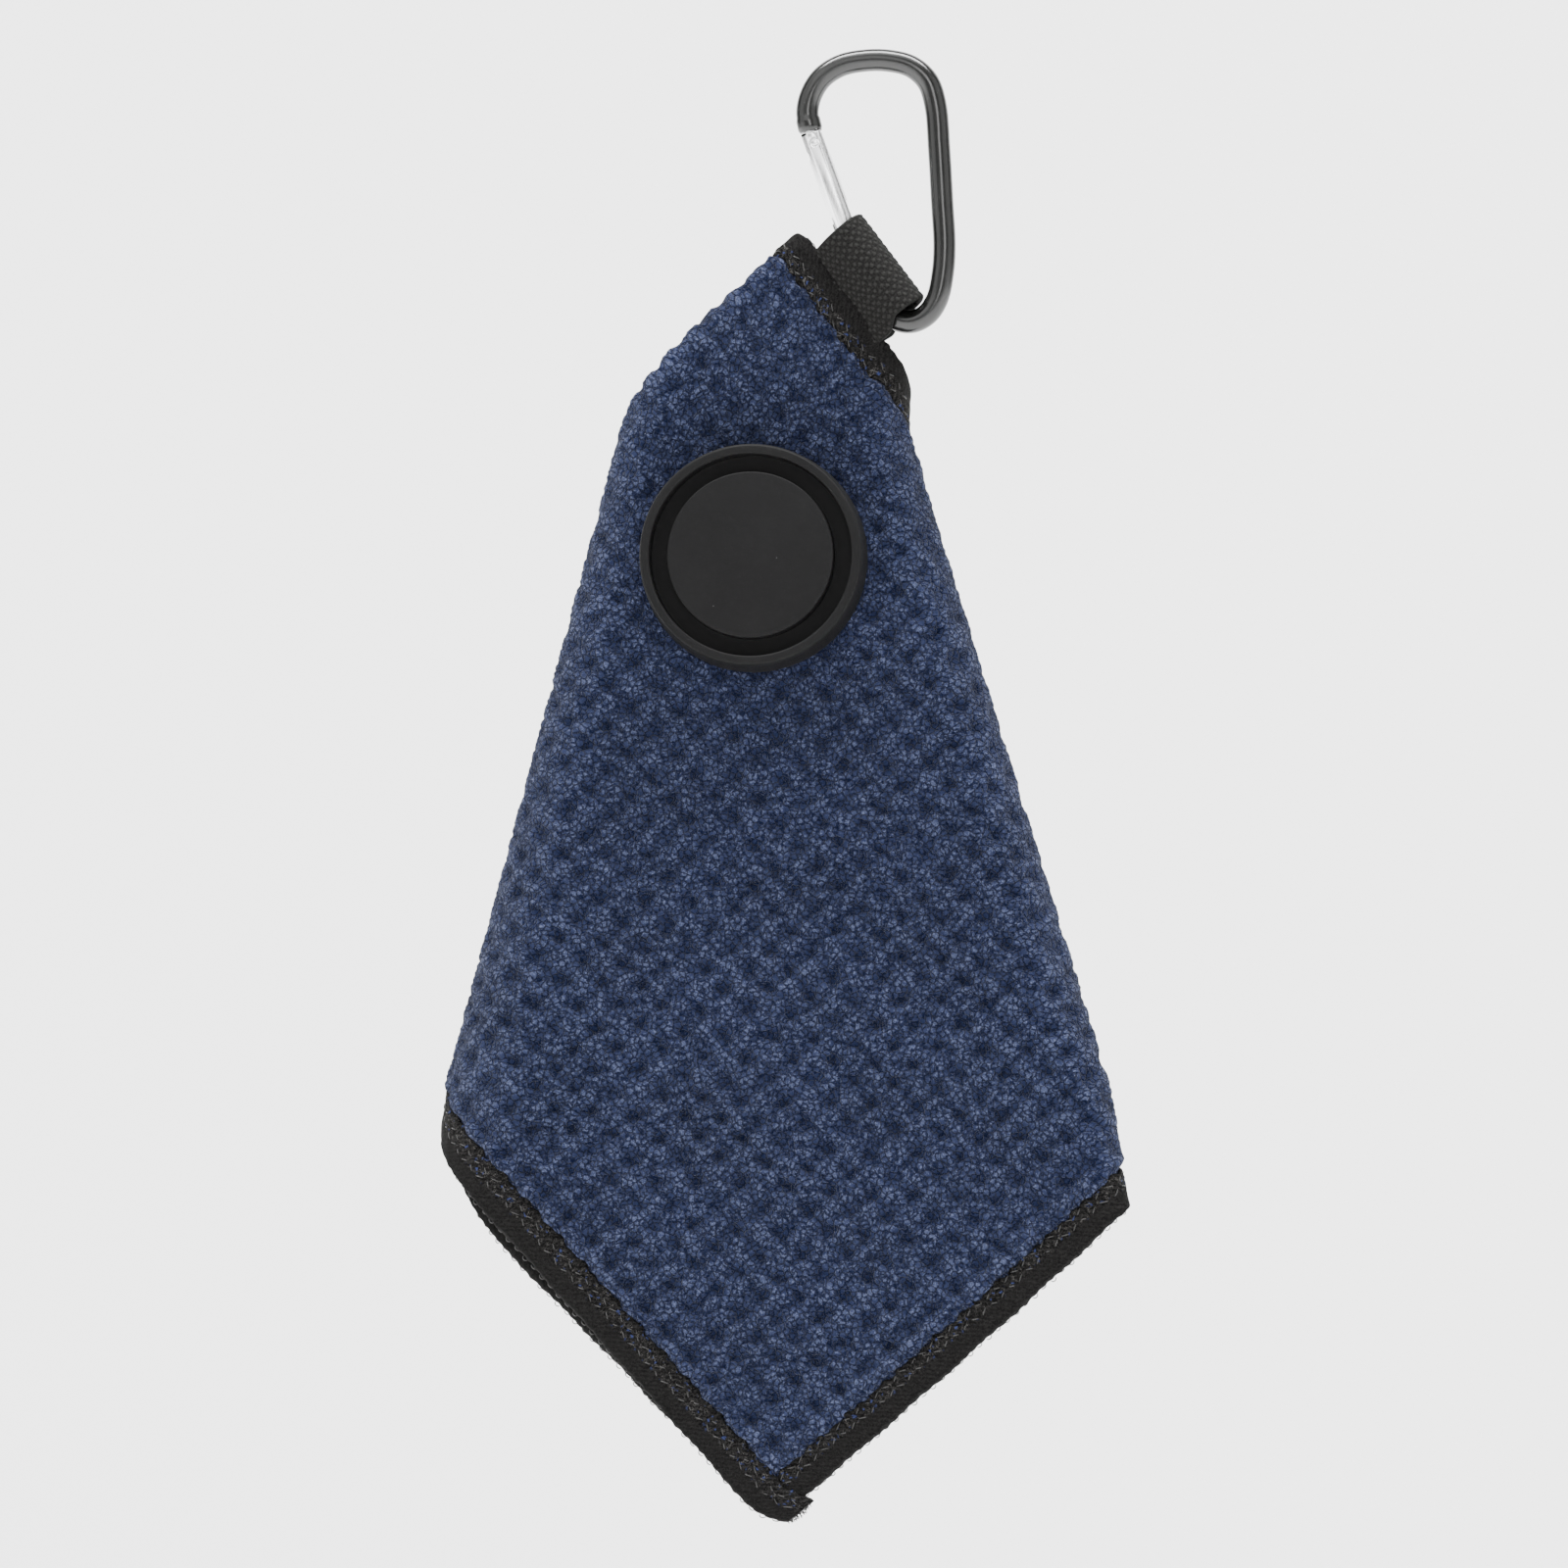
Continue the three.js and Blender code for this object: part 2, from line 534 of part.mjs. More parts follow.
function springBody(fromZ, toZ) {
  const coil = new THREE.Curve();
  coil.getPoint = (t, target = new THREE.Vector3()) => {
    const angle = 2 * Math.PI * SPRING_TURNS * t;
    const z = fromZ + SPRING_END_INSET + (toZ - fromZ - 2 * SPRING_END_INSET) * t;
    return target.set(SPRING_R * Math.cos(angle), SPRING_R * Math.sin(angle), z);
  };
  const wire = new THREE.Shape().absarc(0, 0, WIRE_R, 0, 2 * Math.PI, false);
  const steps = 8 * SPRING_TURNS;
  const geometry = new THREE.ExtrudeGeometry(wire, { extrudePath: coil, steps, curveSegments: 2 });
  return geometry.applyMatrix4(gateFrame);
}

// ---- the assembly ------------------------------------------------------------------------------

const tape = finish(0x25262a, 0.9, 0);

addPiece('waffle_cloth', clothBody(), finish(0x313b54, 0.95, 0));
addPiece('binding_lower_edge', longTape(-STUB, 0, 1), tape);
addPiece('binding_loop_edge', longTape(0, TOWEL_WIDTH, -1), tape);
addPiece('binding_front_end', endTape('front', 0), tape);
addPiece('binding_back_end', endTape('back', BACK_END_U), tape);
addWebbingLoop();
addCarabiner();
addFrontPuck();
addBackPuck();

export default part;
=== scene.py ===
import math

import bpy
import numpy as np
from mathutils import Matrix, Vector


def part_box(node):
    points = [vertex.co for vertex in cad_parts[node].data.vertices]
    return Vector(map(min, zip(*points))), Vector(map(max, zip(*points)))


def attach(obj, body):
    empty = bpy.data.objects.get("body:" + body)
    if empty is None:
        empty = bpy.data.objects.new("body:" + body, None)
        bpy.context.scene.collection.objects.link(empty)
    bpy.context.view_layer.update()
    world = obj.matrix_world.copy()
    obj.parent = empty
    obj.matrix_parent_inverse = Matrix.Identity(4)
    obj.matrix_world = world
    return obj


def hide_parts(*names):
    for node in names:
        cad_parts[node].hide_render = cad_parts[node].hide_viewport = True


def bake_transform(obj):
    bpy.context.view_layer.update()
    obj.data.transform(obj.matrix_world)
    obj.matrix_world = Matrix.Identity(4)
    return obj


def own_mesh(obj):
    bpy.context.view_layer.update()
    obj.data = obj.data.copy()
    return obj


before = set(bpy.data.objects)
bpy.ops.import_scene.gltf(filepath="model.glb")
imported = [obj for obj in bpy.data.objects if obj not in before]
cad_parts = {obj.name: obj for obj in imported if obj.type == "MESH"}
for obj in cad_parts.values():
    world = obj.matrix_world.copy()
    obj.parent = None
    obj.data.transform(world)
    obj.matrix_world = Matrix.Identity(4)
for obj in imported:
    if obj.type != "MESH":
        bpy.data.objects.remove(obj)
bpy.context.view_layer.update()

MM = 0.001
DEG = math.pi / 180

# ---- sizes, in millimetres -----------------------------------------------------------------------

TOWEL_LENGTH, TOWEL_WIDTH = 305.0, 157.5
CLOTH_HALF, HEM_HALF, LAYER_PITCH = 1.25, 0.55, 3.4
FRONT_LENGTH, BACK_SHIFT, BACK_END_SHIFT, BACK_SHIFT_RUN = 166.3, 2.0, 0.4, 50.0
LOOP_SIDE_TAPER, LOOP_SIDE_TAPER_LENGTH = 0.1, 25.0
TOWEL_TURN = 42 * DEG
LOW_CORNER = np.array([2.4, -170.3])
END_SAG, END_SAG_WIDTH, END_SAG_LENGTH = 1.2, 120.0, 60.0
TAPE_WIDTH, LOWER_TAPE_WIDTH = 6.2, 7.3
TAPE_HALF, TAPE_INSIDE_HALF, HEM_INSET = 1.45, 0.95, 1.0
CORNER_BEND, CORNER_BEND_LENGTH, STUB = 3.2, 7.4, 1.4
STACK_Y, CLAMP_SQUEEZE, CLAMP_INNER_R, CLAMP_OUTER_R = -9.5, 0.25, 23.0, 34.0
FOLD_R = LAYER_PITCH / 2
FOLD_LENGTH = math.pi * FOLD_R
FRONT_Y = STACK_Y - FOLD_R
FOLD_U = FRONT_LENGTH - CLOTH_HALF - FOLD_R
BACK_END_U = 2 * FOLD_U - (TOWEL_LENGTH - FOLD_LENGTH)
ROLL_SKIN, SIDE_TOP_Z = 1.5, 15.5
PUCK_R = 20.0
WAFFLE_PITCH = 5.35
UV_SPAN = 400.0          # millimetres across the cloth's and the tapes' UV square

LOOP_ROOT = np.array([17.2, FRONT_Y, 46.9])
LOOP_OUT = np.array([0.8, 0.0, 0.6])
LOOP_ACROSS = np.array([0.6, 0.0, -0.8])
GATE_PIN, NOSE = np.array([16.22, 58.04]), np.array([9.9, 75.7])
GATE_UP = (NOSE - GATE_PIN) / np.linalg.norm(NOSE - GATE_PIN)
GATE_LEAN = 0.343        # radians from upright
SHOULDER = 3.2           # from the hinge pin down to the full round rod
ROD_R, ROD_SIDES = 2.0, 40


# ---- camera --------------------------------------------------------------------------------------

def add_camera():
    view_width, distance, azimuth, elevation = 275.2, 2500.0, 5.0 * DEG, -5.0 * DEG
    target = Vector((5.16, FRONT_Y, -39.6)) * MM
    away = Vector((math.sin(azimuth) * math.cos(elevation), -math.cos(azimuth) * math.cos(elevation),
                   math.sin(elevation)))
    data = bpy.data.cameras.new("camera")
    data.sensor_width = 36.0
    data.lens = data.sensor_width * distance / view_width
    data.clip_start, data.clip_end = 0.05, 20.0
    camera = bpy.data.objects.new("camera", data)
    camera.location = target + away * distance * MM
    camera.rotation_euler = (-away).to_track_quat("-Z", "Y").to_euler()
    bpy.context.scene.collection.objects.link(camera)
    bpy.context.scene.camera = camera


add_camera()


# ---- shader tools --------------------------------------------------------------------------------

class Nodes:
    """Adds and joins shader nodes in one tree."""

    def __init__(self, tree):
        self.tree = tree

    def add(self, kind, inputs=None, **settings):
        node = self.tree.nodes.new(kind)
        for name, value in settings.items():
            setattr(node, name, value)
        for name, value in (inputs or {}).items():
            self.feed(node, name, value)
        return node

    def feed(self, node, name, value):
        if isinstance(value, bpy.types.NodeSocket):
            self.tree.links.new(value, node.inputs[name])
        else:
            node.inputs[name].default_value = value

    def math(self, operation, a, b=0.0, clamp=False):
        return self.add("ShaderNodeMath", {0: a, 1: b}, operation=operation, use_clamp=clamp).outputs[0]

    def plus(self, a, b):
        return self.math("ADD", a, b)

    def minus(self, a, b, clamp=False):
        return self.math("SUBTRACT", a, b, clamp)

    def times(self, a, b):
        return self.math("MULTIPLY", a, b)

    def scale(self, vector, factors):
        return self.add("ShaderNodeVectorMath", {0: vector, 1: factors}, operation="MULTIPLY").outputs[0]

    def shift(self, vector, other):
        return self.add("ShaderNodeVectorMath", {0: vector, 1: other}, operation="ADD").outputs[0]

    def noise(self, vector, scale, detail=2.0, roughness=0.5):
        return self.add("ShaderNodeTexNoise", {"Vector": vector, "Scale": scale, "Detail": detail,
                                               "Roughness": roughness})

    def cells(self, vector, scale, feature="F1"):
        return self.add("ShaderNodeTexVoronoi", {"Vector": vector, "Scale": scale}, feature=feature)

    def ramp(self, factor, low, high, smooth=True):
        kind = "SMOOTHSTEP" if smooth else "LINEAR"
        return self.add("ShaderNodeMapRange", {"Value": factor, "From Min": low, "From Max": high},
                        interpolation_type=kind).outputs[0]

    def mix(self, factor, a, b, blend="MIX"):
        node = self.tree.nodes.new("ShaderNodeMix")
        node.data_type, node.blend_type = "RGBA", blend
        for index, value in ((0, factor), (6, a), (7, b)):
            if isinstance(value, bpy.types.NodeSocket):
                self.tree.links.new(value, node.inputs[index])
            else:
                node.inputs[index].default_value = value
        return node.outputs[2]


def new_material(name, roughness=0.5, metallic=0.0, **sockets):
    material = bpy.data.materials.new(name)
    material.use_nodes = True
    nodes = Nodes(material.node_tree)
    shader = material.node_tree.nodes["Principled BSDF"]
    shader.inputs["Roughness"].default_value = roughness
    shader.inputs["Metallic"].default_value = metallic
    for socket, value in sockets.items():
        shader.inputs[socket.replace("_", " ")].default_value = value
    return material, nodes, shader


def new_group(name, inputs, outputs):
    """A new shader node group, its node tools, and its input and output nodes."""
    tree = bpy.data.node_groups.new(name, "ShaderNodeTree")
    for socket, kind, value in inputs:
        made = tree.interface.new_socket(socket, in_out="INPUT", socket_type="NodeSocket" + kind)
        if value is not None:
            made.default_value = value
    for socket, kind in outputs:
        tree.interface.new_socket(socket, in_out="OUTPUT", socket_type="NodeSocket" + kind)
    nodes = Nodes(tree)
    return tree, nodes, nodes.add("NodeGroupInput"), nodes.add("NodeGroupOutput")


def place(nodes, tree, inputs):
    """A shader node group put in a material; the result is its one output."""
    return nodes.add("ShaderNodeGroup", inputs, node_tree=tree).outputs[0]


def add_bump(nodes, shader, height, distance):
    """Relief that is distance millimetres deep."""
    bump = nodes.add("ShaderNodeBump", {"Height": height, "Distance": distance * MM, "Strength": 1.0})
    nodes.feed(shader, "Normal", bump.outputs[0])


# ---- shared effects ------------------------------------------------------------------------------

def fibre_group():
    """Curly fibres: ridged lines of noise that wander, from 0 between fibres to 1 on top of one."""
    tree, nodes, ins, outs = new_group(
        "curly_fibres", [("Vector", "Vector", None), ("Scale", "Float", 1.0)], [("Height", "Float")])
    wander = nodes.noise(ins.outputs["Vector"], 0.9, 1.0)
    moved = nodes.shift(ins.outputs["Vector"], nodes.scale(wander.outputs["Color"], (0.9, 0.9, 0.9)))
    lines = nodes.noise(moved, ins.outputs["Scale"], 1.5, 0.6)
    away = nodes.math("ABSOLUTE", nodes.minus(lines.outputs["Fac"], 0.5))
    nodes.feed(outs, "Height", nodes.minus(1.0, nodes.times(away, 7.0), clamp=True))
    return tree


def curl_group():
    """Close curls: 1 on each lobe and 0 in the seams that wander between them, where the terry paints shade.
    """
    tree, nodes, ins, outs = new_group(
        "curls", [("Vector", "Vector", None), ("Scale", "Float", 1.0), ("Seam", "Float", 0.2)],
        [("Height", "Float")])
    wander = nodes.noise(ins.outputs["Vector"], 1.5, 2.0)
    moved = nodes.shift(ins.outputs["Vector"], nodes.scale(wander.outputs["Color"], (1.1, 1.1, 1.1)))
    lobes = nodes.cells(moved, ins.outputs["Scale"], feature="DISTANCE_TO_EDGE")
    nodes.feed(outs, "Height", nodes.ramp(lobes.outputs["Distance"], 0.0, ins.outputs["Seam"], smooth=False))
    return tree


def unevenness_group():
    """Broad, faint unevenness for any surface, about 1 in the middle."""
    tree, nodes, ins, outs = new_group(
        "unevenness", [("Vector", "Vector", None), ("Scale", "Float", 0.05), ("Depth", "Float", 0.2)],
        [("Factor", "Float")])
    broad = nodes.noise(ins.outputs["Vector"], ins.outputs["Scale"], 3.0)
    centred = nodes.minus(broad.outputs["Fac"], 0.5)
    nodes.feed(outs, "Factor", nodes.plus(1.0, nodes.times(centred, ins.outputs["Depth"])))
    return tree


FIBRES = fibre_group()
CURLS = curl_group()
UNEVENNESS = unevenness_group()


def cloth_coordinates(nodes):
    """Millimetres across the flat cloth."""
    uv = nodes.add("ShaderNodeUVMap", uv_map="flat")
    return nodes.scale(uv.outputs[0], (UV_SPAN, UV_SPAN, UV_SPAN))


def object_coordinates(nodes):
    """Millimetres in the object's own frame."""
    place_in = nodes.add("ShaderNodeTexCoord")
    return nodes.scale(place_in.outputs["Object"], (1000.0, 1000.0, 1000.0))


# ---- materials -----------------------------------------------------------------------------------

def waffle_pits(nodes, where):
    """1 in the middle of each waffle cell, falling to 0 on the ribs between cells."""
    flat = nodes.add("ShaderNodeSeparateXYZ", {"Vector": where})
    waves = []
    for direction in (0, 1):
        wave = nodes.math("COSINE", nodes.times(flat.outputs[direction], 2 * math.pi / WAFFLE_PITCH))
        waves.append(nodes.plus(0.5, nodes.times(wave, 0.5)))
    return nodes.math("POWER", nodes.times(*waves), 1.2)


def terry_material():
    material, nodes, shader = new_material("blue_terry", roughness=0.95, Sheen_Weight=0.06,
                                           Sheen_Roughness=0.4, Specular_IOR_Level=0.06)
    where = cloth_coordinates(nodes)
    curls = place(nodes, CURLS, {"Vector": where, "Scale": 1.0, "Seam": 0.17})
    small_curls = place(nodes, CURLS, {"Vector": where, "Scale": 2.6, "Seam": 0.3})
    fine = nodes.noise(where, 5.0, 2.0, 0.7).outputs["Fac"]
    lobes = nodes.plus(nodes.times(curls, 0.8), nodes.times(small_curls, 0.2))
    height = nodes.plus(lobes, nodes.times(fine, 0.2))
    # painted shade: the crevice shade attribute darkens the colour in the pile's dimples, channels and gaps
    # between tufts
    crevice = nodes.add("ShaderNodeAttribute", attribute_name="crevice").outputs["Fac"]
    lining = nodes.add("ShaderNodeAttribute", attribute_name="lining").outputs["Fac"]
    # painted shade on the lining: its waffle pits and a flat 0.25 darken the inner face's colour; the pits
    # also shape the bump
    pits = nodes.times(lining, waffle_pits(nodes, where))
    crevice = nodes.plus(crevice, nodes.plus(pits, nodes.times(lining, 0.25)))
    lit = nodes.minus(height, nodes.times(crevice, 0.6), clamp=True)
    # of these colours the first is painted shade for the seams and crevices, the second the terry's own navy,
    # the third a painted highlight on the tops of the curls
    painted_shade_colour, body, painted_highlight_colour = (0.0012, 0.004, 0.020, 1), (0.0190, 0.0246, 0.0565, 1), (0.088, 0.104, 0.178, 1)
    shade = nodes.mix(nodes.ramp(lit, 0.1, 0.85, smooth=False), painted_shade_colour, body)
    # painted highlight: the highest parts of the pile take the light colour
    shade = nodes.mix(nodes.ramp(lit, 0.8, 1.15), shade, painted_highlight_colour)
    broad = place(nodes, UNEVENNESS, {"Vector": where, "Scale": 0.06, "Depth": 0.5})
    nodes.feed(shader, "Base Color", nodes.mix(1.0, shade, broad, "MULTIPLY"))
    add_bump(nodes, shader, nodes.minus(height, nodes.times(pits, 1.6)), 0.5)
    return material


def tape_material():
    material, nodes, shader = new_material("binding_tape", roughness=0.85, Specular_IOR_Level=0.06)
    where = cloth_coordinates(nodes)
    wander = nodes.noise(where, 1.4, 1.0)
    curly = nodes.shift(where, nodes.scale(wander.outputs["Color"], (1.2, 1.2, 1.2)))
    wales = nodes.add("ShaderNodeTexWave", {"Vector": where, "Scale": 0.55, "Distortion": 5.0, "Detail": 2.0,
                                            "Detail Scale": 2.0}, bands_direction="DIAGONAL")
    fuzz = nodes.noise(where, 1.5, 3.0, 0.75).outputs["Fac"]
    fibres = place(nodes, FIBRES, {"Vector": where, "Scale": 2.4})
    height = nodes.plus(nodes.times(wales.outputs["Fac"], 0.15),
                        nodes.plus(nodes.times(fuzz, 0.6),
                                   nodes.times(fibres, 0.3)))
    band = nodes.add("ShaderNodeAttribute", attribute_name="stitched").outputs["Fac"]
    calm = nodes.plus(0.4, nodes.times(band, 0.6))
    height = nodes.plus(0.48, nodes.times(calm, nodes.minus(height, 0.5)))
    dark, light = (0.0008, 0.0008, 0.0008, 1), (0.0175, 0.017, 0.0165, 1)
    shade = nodes.mix(nodes.ramp(height, 0.32, 0.78), dark, light)
    # painted glints: light grey specks on the tops of the fibres in the stitched band stand for highlights on
    # the thread loops
    glint = nodes.times(nodes.ramp(fibres, 0.8, 1.0),
                       nodes.ramp(nodes.noise(where, 1.1, 2.0).outputs["Fac"], 0.5, 0.62))
    shade = nodes.mix(nodes.times(glint, nodes.times(band, 0.8)), shade,
                      (0.11, 0.105, 0.10, 1))
    fluff = nodes.ramp(nodes.cells(curly, 0.8).outputs["Distance"], 0.26, 0.1)
    shade = nodes.mix(nodes.times(fluff, band), shade, (0.022, 0.03, 0.085, 1))
    nodes.feed(shader, "Base Color", shade)
    add_bump(nodes, shader, height, 0.22)
    return material


def thread_material():
    material, nodes, shader = new_material("black_thread", roughness=0.42, Specular_IOR_Level=0.55)
    where = object_coordinates(nodes)
    ply = nodes.add("ShaderNodeTexWave", {"Vector": where, "Scale": 1.6, "Distortion": 1.0},
                    bands_direction="DIAGONAL")
    shade = nodes.mix(ply.outputs["Fac"], (0.003, 0.003, 0.003, 1), (0.017, 0.0165, 0.016, 1))
    nodes.feed(shader, "Base Color", shade)
    add_bump(nodes, shader, ply.outputs["Fac"], 0.05)
    return material


def webbing_material():
    material, nodes, shader = new_material("woven_webbing", roughness=0.8, Specular_IOR_Level=0.08)
    where = cloth_coordinates(nodes)
    weave = nodes.add("ShaderNodeAttribute", attribute_name="weave").outputs["Fac"]
    fine = nodes.noise(where, 3.4, 2.0, 0.7).outputs["Fac"]
    level = nodes.plus(nodes.times(weave, 0.45), nodes.times(fine, 0.75))
    shade = nodes.mix(nodes.ramp(level, 0.25, 1.0), (0.0015, 0.0015, 0.0014, 1), (0.021, 0.021, 0.0198, 1))
    nodes.feed(shader, "Base Color", shade)
    add_bump(nodes, shader, level, 0.12)
    return material


def anodised_material():
    material, nodes, shader = new_material("black_anodised", Specular_IOR_Level=0.55)
    where = object_coordinates(nodes)
    haze = place(nodes, UNEVENNESS, {"Vector": where, "Scale": 0.25, "Depth": 0.5})
    nodes.feed(shader, "Base Color", nodes.mix(1.0, (0.006, 0.0062, 0.0058, 1), haze, "MULTIPLY"))
    grain = nodes.noise(where, 9.0, 2.0, 0.7).outputs["Fac"]
    nodes.feed(shader, "Roughness", nodes.times(haze, nodes.ramp(grain, -1.0, 4.0)))
    add_bump(nodes, shader, grain, 0.004)
    return material


def aluminium_material():
    material, nodes, shader = new_material("polished_aluminium", metallic=1.0)
    where = object_coordinates(nodes)
    turned = nodes.add("ShaderNodeMapping", {"Vector": where, "Rotation": (0.0, -GATE_LEAN, 0.0),
                                             "Scale": (6.0, 6.0, 0.25)})
    drawn = nodes.noise(turned.outputs[0], 1.0, 3.0, 0.6).outputs["Fac"]
    nodes.feed(shader, "Base Color", nodes.mix(drawn, (0.92, 0.92, 0.93, 1), (0.97, 0.97, 0.97, 1)))
    nodes.feed(shader, "Roughness", nodes.ramp(drawn, -0.6, 2.6))
    add_bump(nodes, shader, drawn, 0.003)
    return material


def soft_touch_material():
    material, nodes, shader = new_material("soft_touch_black", Specular_IOR_Level=0.06)
    where = object_coordinates(nodes)
    grain = nodes.noise(where, 7.0, 3.0, 0.65).outputs["Fac"]
    broad = place(nodes, UNEVENNESS, {"Vector": where, "Scale": 0.09, "Depth": 0.35})
    dust = nodes.ramp(nodes.cells(where, 0.22).outputs["Distance"], 0.035, 0.012)
    shade = nodes.mix(1.0, (0.0078, 0.0078, 0.0080, 1), broad, "MULTIPLY")
    nodes.feed(shader, "Base Color", nodes.mix(nodes.times(dust, 0.35), shade,
                                               (0.12, 0.12, 0.12, 1)))
    nodes.feed(shader, "Roughness", nodes.times(broad, nodes.ramp(grain, -1.0, 1.9)))
    add_bump(nodes, shader, grain, 0.03)
    return material


def grip_material():
    material, nodes, shader = new_material("grip_rubber", roughness=0.8, Specular_IOR_Level=0.3)
    where = object_coordinates(nodes)
    grain = nodes.cells(where, 1.6).outputs["Distance"]
    nodes.feed(shader, "Base Color", nodes.mix(grain, (0.012, 0.012, 0.012, 1), (0.030, 0.030, 0.030, 1)))
    add_bump(nodes, shader, grain, 0.12)
    return material


def nickel_material():
    material, nodes, shader = new_material("nickel_plate", roughness=0.22, metallic=1.0)
    where = object_coordinates(nodes)
    haze = place(nodes, UNEVENNESS, {"Vector": where, "Scale": 0.3, "Depth": 0.6})
    nodes.feed(shader, "Base Color", nodes.mix(1.0, (0.62, 0.61, 0.58, 1), haze, "MULTIPLY"))
    add_bump(nodes, shader, nodes.noise(where, 4.0, 2.0).outputs["Fac"], 0.01)
    return material


def steel_material():
    material, nodes, shader = new_material("spring_steel", metallic=1.0)
    where = object_coordinates(nodes)
    drawn = nodes.noise(where, 3.0, 3.0).outputs["Fac"]
    nodes.feed(shader, "Base Color", nodes.mix(drawn, (0.40, 0.40, 0.41, 1), (0.62, 0.62, 0.63, 1)))
    nodes.feed(shader, "Roughness", nodes.ramp(drawn, -0.5, 2.4))
    return material


TERRY, TAPE, THREAD, WEBBING = terry_material(), tape_material(), thread_material(), webbing_material()
ANODISED, ALUMINIUM, SOFT_TOUCH = anodised_material(), aluminium_material(), soft_touch_material()
GRIP, NICKEL, STEEL = grip_material(), nickel_material(), steel_material()


# ---- mesh tools ----------------------------------------------------------------------------------

def make_mesh(name, points, faces, material, uv=None, **attributes):
    """A smooth mesh object from points in millimetres and faces."""
    mesh = bpy.data.meshes.new(name)
    mesh.from_pydata((np.asarray(points, float) * MM).tolist(), [], np.asarray(faces).tolist()
                     if isinstance(faces, np.ndarray) else faces)
    if uv is not None:
        loops = np.zeros(len(mesh.loops), np.int32)
        mesh.loops.foreach_get("vertex_index", loops)
        layer = mesh.uv_layers.new(name="flat")
        layer.data.foreach_set("uv", (np.asarray(uv, np.float32)[loops] / UV_SPAN).ravel())
    for attribute, values in attributes.items():
        data = mesh.attributes.new(attribute, "FLOAT", "POINT")
        data.data.foreach_set("value", np.asarray(values, np.float32))
    mesh.materials.append(material)
    mesh.polygons.foreach_set("use_smooth", [True] * len(mesh.polygons))
    mesh.update()
    piece = bpy.data.objects.new(name, mesh)
    bpy.context.scene.collection.objects.link(piece)
    return piece


def select_only(piece):
    bpy.ops.object.select_all(action="DESELECT")
    piece.select_set(True)
    bpy.context.view_layer.objects.active = piece


def recalculate(piece):
    """Turns the faces outwards with the edit-mode operator."""
    select_only(piece)
    bpy.ops.object.mode_set(mode="EDIT")
    bpy.ops.mesh.select_all(action="SELECT")
    bpy.ops.mesh.normals_make_consistent(inside=False)
    bpy.ops.object.mode_set(mode="OBJECT")


def grid_faces(rows, columns, offset=0, flip=False):
    """Quads between rows of points."""
    a = (np.arange(rows - 1)[:, None] * columns + np.arange(columns - 1)[None, :]).ravel() + offset
    quads = np.stack([a, a + 1, a + columns + 1, a + columns], 1)
    return quads[:, ::-1] if flip else quads


def ring_faces(rings, count):
    """Quads of a tube whose rings have count points each."""
    i, j = np.meshgrid(np.arange(rings - 1), np.arange(count), indexing="ij")
    a = (i * count + j).ravel()
    b = (i * count + (j + 1) % count).ravel()
    return np.stack([a, b, b + count, a + count], 1)


def end_caps(rings, count):
    """The two faces that close a tube's ends."""
    return [list(range(count))[::-1], [(rings - 1) * count + k for k in range(count)]]


def finish_piece(piece, body, slot, *nodes):
    """Puts a piece on its body and in place of CAD nodes; the slot argument is not used."""
    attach(piece, body)
    if nodes:
        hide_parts(*nodes)
    return piece


# ---- how the towel lies --------------------------------------------------------------------------

def smooth(x, low, high):
    t = np.clip((x - low) / (high - low), 0, 1)
    return t * t * (3 - 2 * t)


class Roll:
    """One side of the towel, curled behind it round a line that leans out as it goes down."""

    def __init__(self, top_x, side, lean, turn, radius, edge):
        self.top = np.array([top_x, SIDE_TOP_Z])
        self.down = np.array([side * lean, -1.0]) / math.hypot(lean, 1.0)
        self.out = np.array([-self.down[1] * side, self.down[0] * side])
        self.turn, self.radius, self.edge = turn, radius, edge

    def curl(self, flat, depth):
        """Points of the hanging plane and their depth, curled; the last result says which ones are."""
        away = flat - self.top
        s = away @ self.down
        radius = self.radius(s)
        start = self.edge(s) - radius - ROLL_SKIN
        past = away @ self.out - start
        angle = np.clip(past / radius, 0, self.turn(s))
        rest = past - radius * angle
        out = start + (radius - depth) * np.sin(angle) + rest * np.cos(angle)
        back = radius - (radius - depth) * np.cos(angle) + rest * np.sin(angle)
        placed = self.top + s[:, None] * self.down + out[:, None] * self.out
        return np.stack([placed[:, 0], FRONT_Y + back, placed[:, 1]], 1), past > 0


LEFT_ROLL = Roll(-26.6, -1, 0.274,
                 lambda s: (96 + 62 * smooth(s, 16, 72)) * DEG,
                 lambda s: 6.2 + 8.3 * np.clip(s / 118, 0, 1),
                 lambda s: -1.5 * smooth(s, 105, 125))
RIGHT_ROLL = Roll(28.9, 1, 0.306,
                  lambda s: (125 + 38 * smooth(s, 12, 60)) * DEG,
                  lambda s: 7 - 3.8 * smooth(s, 88, 132),
                  lambda s: 6.4 * smooth(-s, 5, 27) - 2.5 * smooth(s, 112, 134))
ALONG_WIDTH = np.array([math.cos(TOWEL_TURN), math.sin(TOWEL_TURN)])
ALONG_LENGTH = np.array([-math.sin(TOWEL_TURN), math.cos(TOWEL_TURN)])


def on_plane(u, v):
    """The hanging plane's x and z for u along the towel from its low end and v across it."""
    bend = np.clip((CORNER_BEND_LENGTH - STUB - u) / CORNER_BEND_LENGTH, 0, 1)
    lean = LOOP_SIDE_TAPER * np.clip(FRONT_LENGTH - u, 0, LOOP_SIDE_TAPER_LENGTH)
    across = v * (1 - lean / TOWEL_WIDTH) + CORNER_BEND * bend ** 2 * np.clip(1 - v / PUCK_R, 0, 1)
    sag = END_SAG * np.sin(math.pi * np.clip(v / END_SAG_WIDTH, 0, 1)) * np.clip(1 - u / END_SAG_LENGTH, 0, 1)
    return LOW_CORNER + (u - sag)[:, None] * ALONG_LENGTH + across[:, None] * ALONG_WIDTH


